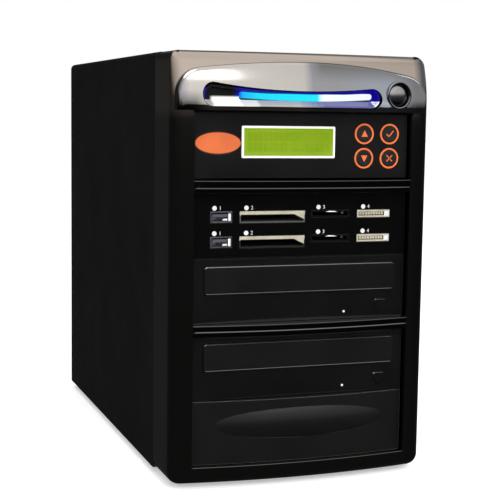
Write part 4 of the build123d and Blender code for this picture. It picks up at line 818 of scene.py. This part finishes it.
def browRim():
    # rings of points and normals from the brow's face over its rounded rim to the shell behind
    rings = []
    side, lip = brow["edgeRound"], brow["lipRound"]
    for step in range(brow["rimSteps"] + 1):
        turn = pi / 2 * step / brow["rimSteps"]
        ring = []
        for x, z, nx, nz in browLoop(side * (1 - sin(turn)), lip * (1 - sin(turn))):
            drop = (lip if nz < 0 else side) * (1 - cos(turn))
            clampZ = min(z, brow["peak"] + brow["clamp"])
            shaded = min(turn, brow["lipTurn"]) if nz < 0 else turn
            normal = browNormal(x, clampZ) * cos(shaded) + Vector((nx, 0, nz)) * sin(shaded)
            ring.append(((x, browY(x, clampZ) + drop, z), normal))
        rings.append(ring)
    wall = [((x, max(y, bowY(x) + leanBack(z)) + brow["wall"], z), normal) for (x, y, z), normal in rings[-1]]
    return rings + [wall]


def slotRim():
    # rings of points and normals from the brow's face over the slot's rounded edge into its depth
    rings = []
    size = slot["edgeRound"]
    for step in range(slot["edgeSteps"] + 1):
        turn = pi / 2 * step / slot["edgeSteps"]
        loop = smileLoop(-size * (1 - sin(turn)))
        ring = []
        for index, (x, z) in enumerate(loop):
            before, after = loop[index - 1], loop[(index + 1) % len(loop)]
            along = Vector((after[0] - before[0], 0, after[1] - before[1])).normalized()
            inward = Vector((-along.z, 0, along.x))
            ring.append(((x, browY(x, z) + size * (1 - cos(turn)), z),
                         browNormal(x, z) * cos(turn) + inward * sin(turn)))
        rings.append(ring)
    return rings + [[((x, y + slot["depth"], z), normal) for (x, y, z), normal in rings[-1]]]


def browShell():
    # swelling front with its slot: analytic surface, rounded rim, rounded slot edge
    rim, hole = browRim(), slotRim()
    outer = [(point[0], point[2]) for point, _ in rim[0]]
    boreX = power["x"] + sin(powerLean) * browAhead(power["z"])
    bore = circle(power["hole"], 48, boreX, power["z"])
    flat, sheet = sheetBetween(outer, [smileLoop(-slot["edgeRound"]), bore], brow["pitch"])
    points = [(x, browY(x, z), z) for x, z in flat]
    normals = [browNormal(x, z) for x, z in flat]
    faces = []
    for face in sheet:
        corners = [Vector(points[index]) for index in face]
        turned = (corners[1] - corners[0]).cross(corners[2] - corners[0]).y > 0
        faces.append(tuple(reversed(face)) if turned else face)
    for rings in (rim, hole):
        count = len(rings[0])
        for number, ring in enumerate(rings):
            low, high = len(points) - count, len(points)
            points += [point for point, _ in ring]
            normals += [normal for _, normal in ring]
            if number == 0:
                continue
            for index in range(count):
                after = (index + 1) % count
                corners = (low + index, high + index, high + after, low + after)
                faces.append(corners if rings is rim else corners[1:] + corners[:1])
    piece = solidify("bezel_brow", points, faces, browPearl, normals)
    return place(piece, "tower", "bezel_plastic")


def rounded(centreRadius, centreHeight, radius, first, last, steps=5):
    # part of a profile: an arc between two angles in degrees
    turns = [radians(first + (last - first) * step / steps) for step in range(steps + 1)]
    return [(centreRadius + radius * cos(turn), centreHeight + radius * sin(turn)) for turn in turns]


def powerRim():
    top, outer, outerRound = power["rimTop"], power["rim"], power["rimRound"]
    bore, boreRound = power["bore"], power["boreRound"]
    profile = [(outer, power["rimFoot"])] + rounded(outer - outerRound, top - outerRound, outerRound, 0, 90)
    profile += rounded(bore + boreRound, top - boreRound, boreRound, 90, 180) + [(bore, power["boreFoot"])]
    place(lathe("power_rim", profile, powerFoot, powerAxis, browPearl), "tower", "bezel_plastic")


def powerDome():
    cap = power["cap"]
    radius = (cap ** 2 + power["dome"] ** 2) / (2 * power["dome"])
    centre = power["capTop"] - radius
    reach, steps = asin((cap - power["capRound"]) / radius), 12
    profile = [(0.0, power["capTop"])]
    profile += [(radius * sin(reach * step / steps), centre + radius * cos(reach * step / steps))
                for step in range(1, steps + 1)]
    edge = profile[-1][1]
    inset, upper, lower = power["capEdge"]
    profile += [(cap - inset, edge - upper), (cap, edge - lower)]
    profile += [(cap, power["capFoot"]), (0.0, power["capFoot"])]
    place(lathe("power_dome", profile, powerFoot, powerAxis, domeGloss), "power_button", "dark_gloss",
          "power_button")


powerLean = asin(power["x"] / bow["radius"])
powerAxis = Vector((sin(powerLean), -cos(powerLean), 0))
powerFoot = Vector((power["x"], bowY(power["x"]), power["z"]))
browShell()
powerRim()
powerDome()
print("bezel, brow and power button made")

# CAD nodes with softened edges: finish, slot of the record, width of the edges, nodes
skins = (
    (caseBlack, "case_steel", 0.0, ("outer_cover",)),
    (slotGloss, "dark_gloss", 0.15, ("slot_liner",)),
    (lightLens, "light_lens", 0.25, ("light_bar",)),
    (panelBlack, "black_plastic", 0.3, ("controller_panel",)),
    (readerBlack, "black_plastic", 0.25, ("card_reader_panel",)),
    (driveBlack, "black_plastic", 0.5, ("drive_1_faceplate", "drive_2_faceplate")),
    (driveBlack, "black_plastic", 0.0, ("drive_1_door", "drive_2_door", "drive_1_eject_button",
                                        "drive_2_eject_button")),
    (blankBlack, "black_plastic", 0.3, ("blank_cover",)),
    (keyBlack, "key_black", 0.0, ("key_up", "key_down", "key_accept", "key_cancel")),
    (badgeOrange, "orange_plastic", 0.0, ("plain_badge",)),
    (orangePrint, "orange_plastic", 0.12, ("key_rims",)),
    (whiteFrame, "white_plastic", 0.25, ("display_frame",)),
    (displayGreen, "display_green", 0.1, ("display_glass",)),
    (portMetal, "bright_metal", 0.12, ("port_shells",)),
    (wideCream, "cream_plastic", 0.12, ("wide_card_sockets",)),
    (readerBlack, "inner_plastic", 0.12, ("small_card_sockets",)),
    (creamPlastic, "cream_plastic", 0.12, ("stick_card_sockets",)),
    (tongueGrey, "inner_plastic", 0.12, ("port_tongues",)),
    (innerBlack, "inner_plastic", 0.25, ("mains_inlet",)),
    (innerBlack, "inner_plastic", 0.3, ("mains_rocker",)),
    (zincSheet, "chassis_steel", 0.0, ("rear_panel",)),
    (innerBlack, "inner_plastic", 0.2, ("drive_1_tray", "drive_2_tray")),
)
display = {
    "x": -10.35, "z": 224.8, "y": -153.83, "glassGrowth": 0.55, "glassFront": -152.0, "glassFace": -153.82,
}
lightBar = {"middle": -1.5, "half": 45.5, "bend": 1.7, "drop": 0.35}
badge = {"x": -58.4, "z": 224.0, "half": (15.65, 7.25), "face": -152.98, "thick": 0.15, "flatter": 0.9}


def spreadGlass(mesh):
    # the lit area overlaps its frame and ends flush with it
    growth = display["glassGrowth"]
    for vert in mesh.vertices:
        vert.co.x += (growth if vert.co.x / mm > display["x"] else -growth) * mm
        vert.co.z += (growth if vert.co.z / mm > display["z"] else -growth) * mm
        if vert.co.y / mm < display["glassFront"]:
            vert.co.y = display["glassFace"] * mm


def bendBar(mesh):
    # the bar follows the slot's smile
    for vert in mesh.vertices:
        share = (vert.co.x / mm - lightBar["middle"]) / lightBar["half"]
        vert.co.z += (lightBar["bend"] * share ** 2 - lightBar["drop"]) * mm


def flattenBadge(mesh):
    # the photo's oval is lower
    for vert in mesh.vertices:
        vert.co.z = (badge["z"] + (vert.co.z / mm - badge["z"]) * badge["flatter"]) * mm


reshaped = {"light_bar": bendBar, "display_glass": spreadGlass, "plain_badge": flattenBadge}
creases = {"blank_cover": 7}   # the swell's border stays clean
for material, slotName, width, names in skins:
    for node in names:
        dress(node, material, slotName, width, reshaped.get(node), creases.get(node, softening["crease"]))
bare = (
    (zincSheet, ("base_pan", "front_frame", "cage_left", "cage_right", "bay_brackets", "drive_1_case",
                 "drive_2_case", "supply_case")),
    (boardGreen, ("light_board", "key_board", "controller_board", "reader_boards")),
    (innerBlack, ("power_switch", "display_module", "drive_1_deck", "drive_2_deck", "drive_1_hub",
                  "drive_2_hub", "fan_frames", "case_fan_rotor", "supply_fan_rotor")),
    (lampLensAndGlint, ("reader_lights",)), (pinLamp, ("drive_lights",)), (nickel, ("fan_guards",)),
    (footRubber, ("rubber_feet",)), (screwZinc, ("case_screws", "drive_screws", "fan_screws")),
)
for material, names in bare:
    for node in names:
        nodes[node].data.materials.clear()
        nodes[node].data.materials.append(material)
print("nodes dressed:", sum(len(row[-1]) for row in skins), "and", sum(len(names) for _, names in bare))

# display cells, contacts and marks
blockGrid("display_cells", {"columns": 16, "rows": 2, "columnPitch": 3.55, "rowPitch": 6.6,
                            "block": (3.0, 0.1, 5.6), "edge": 0.02},
          (display["x"], display["y"], display["z"]), cellGreen, "tower", "display_green")


markEdge = 0.4    # softened part of a mark's thickness


def flatMark(name, outline, x, z, y, thick, material, body, slotName):
    # a flat mark, for print and for painted highlights: a closed outline in the front view, x and z about a
    # centre, given a slight thickness
    shape = bmesh.new()
    front = [shape.verts.new(((x + px) * mm, (y - thick) * mm, (z + pz) * mm)) for px, pz in outline]
    back = [shape.verts.new(((x + px) * mm, y * mm, (z + pz) * mm)) for px, pz in outline]
    shape.faces.new(front)
    shape.faces.new(list(reversed(back)))
    for index in range(len(outline)):
        after = (index + 1) % len(outline)
        shape.faces.new((front[after], front[index], back[index], back[after]))
    bmesh.ops.recalc_face_normals(shape, faces=shape.faces)
    piece = addObject(name, meshFrom(name, shape), material)
    softenEdges(piece, thick * markEdge, 1)
    return place(piece, body, slotName)


def stroke(ax, az, bx, bz, width=0.7):
    # a bar between two points
    along = Vector((bx - ax, bz - az)).normalized() * width / 2
    return [(ax - along.y - along.x, az + along.x - along.y), (ax + along.y - along.x, az - along.x - along.y),
            (bx + along.y + along.x, bz - along.x + along.y), (bx - along.y + along.x, bz + along.x + along.y)]


keys = {
    "face": -153.9, "print": 0.08,
    "key_up": (42.8, 230.5), "key_down": (42.8, 214.5),
    "key_accept": (61.1, 230.5), "key_cancel": (61.1, 214.5),
}
marks = {
    "key_up": [[(-2.3, -1.9), (2.3, -1.9), (0.25, 2.2), (-0.25, 2.2)]],
    "key_down": [[(2.3, 1.9), (-2.3, 1.9), (-0.25, -2.2), (0.25, -2.2)]],
    "key_accept": [stroke(-2.2, -0.1, -0.7, -1.7), stroke(-0.7, -1.7, 2.3, 1.9)],
    "key_cancel": [stroke(-1.8, -1.8, 1.8, 1.8), stroke(-1.8, 1.8, 1.8, -1.8)],
}
for key, outlines in marks.items():
    for index, outline in enumerate(outlines):
        flatMark(f"{key}_mark_{index}", outline, *keys[key], keys["face"], keys["print"], orangePrint, key,
                 "orange_plastic")

oval = [(x * badge["half"][0], z * badge["half"][1]) for x, z in circle(1, 64)]
flatMark("badge_backing", oval, badge["x"], badge["z"], badge["face"], badge["thick"], badgeRed, "tower",
         "orange_plastic")
driveLamps = {"x": 31.0, "z": (62.5, 112.6), "radius": 0.8, "face": -153.0, "thick": 0.06}
for index, z in enumerate(driveLamps["z"]):
    flatMark(f"drive_lamp_centre_{index}", circle(driveLamps["radius"], 24), driveLamps["x"], z,
             driveLamps["face"], driveLamps["thick"], springTabAndHighlight, "tower", "white_plastic")

reader = {
    "tops": (164.1, 180.3), "y": -153.0, "numberHeight": 2.5, "numberRise": 2.2,
    "columns": (-56.3, -34.8, 15.2, 47.2), "front": -152.7,
}


def numberMark(name, text, x, z, y, height, material, body, slotName):
    words = bpy.data.curves.new(name, "FONT")
    words.body = text
    words.size = height * 1.35 * mm    # digits are lower than the font's size
    words.extrude = 0.03 * mm
    words.align_x = "CENTER"
    words.align_y = "CENTER"
    writing = bpy.data.objects.new(name + "_words", words)
    bpy.context.scene.collection.objects.link(writing)
    mesh = bpy.data.meshes.new_from_object(writing)
    bpy.data.objects.remove(writing)
    mesh.transform(Matrix.Translation(Vector((x, y, z)) * mm) @ Matrix.Rotation(pi / 2, 4, "X"))
    return place(addObject(name, mesh, material), body, slotName)


for row, top in enumerate(reader["tops"]):
    for column, x in enumerate(reader["columns"]):
        numberMark(f"reader_number_{row}_{column}", str(column + 1), x, top + reader["numberRise"], reader["y"],
                   reader["numberHeight"], printWhite, "tower", "white_plastic")

# contacts: sizes, place of the centre with its height below the socket's top, finish, slot
socketContacts = {
    "port": ({"columns": 4, "rows": 1, "columnPitch": 2.5, "rowPitch": 1, "block": (1.2, 9.0, 0.2)},
             (-55.4, -144.6, -3.7), goldContact, "bright_metal"),
    "wide": ({"columns": 25, "rows": 2, "columnPitch": 1.27, "rowPitch": 1.6, "block": (0.5, 6.0, 0.5)},
             (-20.5, -119.5, -4.4), goldContact, "bright_metal"),
    "stick": ({"columns": 9, "rows": 1, "columnPitch": 1.95, "rowPitch": 1, "block": (1.5, 9.0, 2.1)},
              (49.9, -147.5, -2.3), creamPlastic, "cream_plastic"),
}
# bright bits, two of them painted highlights: outline below the socket's top, x, distance behind the front,
# thickness, finish, slot
socketMarks = {
    "stick_end": ([(7.8, -4.2), (11.2, -4.2), (11.2, -0.9), (7.8, -0.9)],
                  51.1, 0.05, 0.12, lampLensAndGlint, "bright_metal"),
    "wide_flare": ([(15.6, -2.5), (22.2, -5.6), (22.2, -2.1), (14.8, -2.1)],
                   -20.5, 0.3, 0.4, creamPlastic, "cream_plastic"),
    # painted highlight on the port's inner right wall
    "port_lip": ([(4.8, -6.0), (6.4, -6.0), (6.4, -1.3), (4.8, -1.3)],
                 -55.4, 0.5, 0.4, springTabAndHighlight, "bright_metal"),
    # painted glint low in the port
    "port_glint": ([(0.9, -5.9), (4.3, -5.9), (4.3, -4.6), (1.4, -4.6)],
                   -55.4, 1.0, 0.3, lampLensAndGlint, "bright_metal"),
    "small_arc": ([(-3.8, -1.0), (-0.5, -1.1), (5.0, -1.15), (2.8, -0.6), (-0.5, -0.35)],
                  20.05, 0.05, 0.12, springTabAndHighlight, "bright_metal"),
    "small_hook": ([(7.2, -1.7), (8.4, -0.8), (9.6, -0.8), (8.7, -1.5), (9.4, -2.3), (8.2, -2.5)],
                   20.05, 0.05, 0.12, portMetal, "bright_metal"),
}
for row, top in enumerate(reader["tops"]):
    for name, (sizes, (x, y, rise), material, slotName) in socketContacts.items():
        blockGrid(f"{name}_contacts_{row}", sizes, (x, y, top + rise), material, "tower", slotName)
    for name, (outline, x, behind, thick, material, slotName) in socketMarks.items():
        flatMark(f"{name}_{row}", outline, x, top, reader["front"] + behind, thick, material, "tower", slotName)
for name in ("plain_badge_skin", "badge_backing", "display_frame_skin", "display_glass_skin", "display_cells",
             "key_rims_skin"):
    bpy.data.objects[name].visible_glossy = False  # the gloss under the brow stays dark, as in the photo
print("display cells, contacts and marks made")

# floor, lights and camera
stage = {"size": 9.0, "colour": (0.88, 0.88, 0.88), "lift": 0.42, "ambient": 0.62, "backdrop": 1.0}
bpy.context.scene.view_settings.view_transform = "Standard"


def stageFloor():
    shape = bmesh.new()
    bmesh.ops.create_grid(shape, x_segments=2, y_segments=2, size=stage["size"])
    paper, tree, shader = newMaterial("floor paper")
    setInputs(tree, shader, {
        "Base Color": stage["colour"], "Roughness": 0.85, "Specular IOR Level": 0.1,
        "Emission Color": (1, 1, 1), "Emission Strength": stage["lift"],
    })
    floor = addObject("floor", meshFrom("floor", shape), paper)
    floor.visible_glossy = False  # a dark room in the gloss, as in the photo


sky = {
    "horizon": (1.0, 10.0), "low": 0.038, "overhead": 1.35, "overheadFrom": (46.0, 62.0),
    "turns": (
        (-180, (0.02, 0.02, 0.02)), (-125, (0.03, 0.03, 0.03)), (-75, (0.7, 0.68, 0.66)),
        (-10, (1.45, 1.45, 1.45)), (0, (1.5, 1.5, 1.5)), (180, (0.02, 0.02, 0.02)),
    ),
}


def studioRoom():
    # white behind, even light for matt surfaces, and in the gloss a bright dome over a dark ground
    world = bpy.data.worlds.new("studio")
    world.use_nodes = True
    tree = world.node_tree
    direction = addNode(tree, "ShaderNodeTexCoord")
    split = addNode(tree, "ShaderNodeSeparateXYZ", {0: direction.outputs["Generated"]}).outputs
    turn = maths(tree, "ARCTAN2", split[0], maths(tree, "MULTIPLY", split[1], -1))
    share = maths(tree, "ADD", maths(tree, "DIVIDE", turn, 2 * pi), 0.5)
    dome = colourRamp(tree, share, [(angle / 360 + 0.5, colour) for angle, colour in sky["turns"]])

    def rising(limits):
        low, high = [sin(radians(angle)) for angle in limits]
        return span(tree, split[2], low, high, interpolation_type="SMOOTHSTEP")

    dome = mixColours(tree, rising(sky["overheadFrom"]), dome, sky["overhead"])
    dome = mixColours(tree, rising(sky["horizon"]), sky["low"], dome)
    path = addNode(tree, "ShaderNodeLightPath").outputs
    shade = tree.nodes["Background"]
    setInputs(tree, shade, {"Color": dome, "Strength": 1})
    for strength, ray in ((stage["ambient"], "Is Diffuse Ray"), (stage["backdrop"], "Is Camera Ray")):
        light = addNode(tree, "ShaderNodeBackground", {"Color": (1, 1, 1), "Strength": strength})
        shade = addNode(tree, "ShaderNodeMixShader", {0: path[ray], 1: shade.outputs[0], 2: light.outputs[0]})
    setInputs(tree, tree.nodes["World Output"], {0: shade.outputs[0]})
    bpy.context.scene.world = world


stageFloor()
studioRoom()
browOnly = ("bezel_brow",)
panels = ("controller_panel_skin", "card_reader_panel_skin")
doors = ("drive_1_door_skin", "drive_2_door_skin")
drivePlates = (*doors, "drive_1_faceplate_skin", "drive_2_faceplate_skin", "drive_1_eject_button_skin",
               "drive_2_eject_button_skin")
# area lamps: "only" names the pieces that a lamp falls on; it shines "through" all others
lamps = {
    "front softbox": {"turn": 20, "rise": 40, "size": (2.5, 1.35), "watts": 15},
    "left window": {"turn": 1.6, "rise": 36, "size": (0.40, 0.36), "watts": 1.6, "only": browOnly},
    "left strip": {"turn": -52, "rise": 6, "size": (1.7, 0.7), "watts": 1.9, "only": browOnly,
                   "colour": (0.85, 0.92, 1.0)},
    "low strip": {"turn": 16, "rise": 2, "size": (2.0, 0.36), "watts": 2.4, "only": browOnly},
    "left rim": {"turn": -75, "rise": 68, "size": (1.0, 1.0), "watts": 19, "only": browOnly},
    "right rim": {"turn": 95, "rise": 40, "size": (0.7, 0.7), "watts": 6, "only": browOnly},
    "panel window": {"turn": 22, "rise": 55, "size": (1.2, 1.4), "watts": 26, "only": panels},
    "drive window": {"turn": 22, "rise": 55, "size": (1.2, 1.4), "watts": 30, "only": drivePlates,
                     "through": True},
    "left glint": {"turn": 4, "rise": 55, "size": (0.35, 1.6), "watts": 80, "only": drivePlates,
                   "through": True},
    "corner glint": {"turn": -40, "rise": 36, "size": (0.8, 0.8), "watts": 50, "only": doors, "through": True},
    "door foot": {"turn": 20, "rise": -48, "size": (1.4, 1.2), "watts": 24, "only": doors, "through": True},
    "swell window": {"turn": 21, "rise": 40, "size": (0.5, 0.5), "watts": 8, "only": ("blank_cover_skin",)},
    "rear window": {"turn": 145, "rise": -10, "size": (2.0, 0.8), "watts": 5, "only": ("rear_panel_skin",),
                    "through": True},
    "front fill": {"turn": -14, "rise": 24, "size": (1.0, 1.0), "watts": 22},
    "top": {"turn": 160, "rise": 66, "size": (1.6, 1.6), "watts": 16},
}
lampAim, lampReach = Vector((0.0, -0.16, 0.26)), 2.0


def hangLamp(name, lamp):
    light = bpy.data.lights.new(name, "AREA")
    light.shape = "RECTANGLE"
    light.size, light.size_y = lamp["size"]
    light.energy = lamp["watts"]
    light.color = lamp.get("colour", (1, 1, 1))
    holder = bpy.data.objects.new(name, light)
    turn, rise = radians(lamp["turn"]), radians(lamp["rise"])
    toLamp = Vector((sin(turn) * cos(rise), -cos(turn) * cos(rise), sin(rise)))
    holder.location = lampAim + toLamp * lampReach
    holder.rotation_euler = (-toLamp).to_track_quat("-Z", "Y").to_euler()
    holder.visible_glossy = "only" in lamp    # the general lamps leave no bright squares in the gloss
    bpy.context.scene.collection.objects.link(holder)
    if "only" in lamp:
        chosen = bpy.data.collections.new(name + " reach")
        for piece in lamp["only"]:
            chosen.objects.link(bpy.data.objects[piece])
        holder.light_linking.receiver_collection = chosen
        if "through" in lamp:
            holder.light_linking.blocker_collection = chosen


for name, lamp in lamps.items():
    hangLamp(name, lamp)

view = {"at": (-0.2989, -0.90433, 0.24408), "yaw": 19.299, "pitch": 6.367, "roll": 0.83, "lens": 89.33}


def photoView():
    yaw, pitch, roll = radians(view["yaw"]), radians(view["pitch"]), radians(view["roll"])
    forward = Vector((sin(yaw) * cos(pitch), cos(yaw) * cos(pitch), -sin(pitch)))
    flatRight = Vector((cos(yaw), -sin(yaw), 0))
    flatUp = flatRight.cross(forward)
    right = flatRight * cos(roll) + flatUp * sin(roll)
    up = flatUp * cos(roll) - flatRight * sin(roll)
    camera = bpy.data.cameras.new("photo view")
    camera.lens = view["lens"]
    camera.sensor_width = 36
    eye = bpy.data.objects.new("photo view", camera)
    eye.matrix_world = Matrix.Translation(view["at"]) @ Matrix((right, up, -forward)).transposed().to_4x4()
    bpy.context.scene.collection.objects.link(eye)
    bpy.context.scene.camera = eye


photoView()
print("floor, lights and camera made")

bpy.context.view_layer.update()
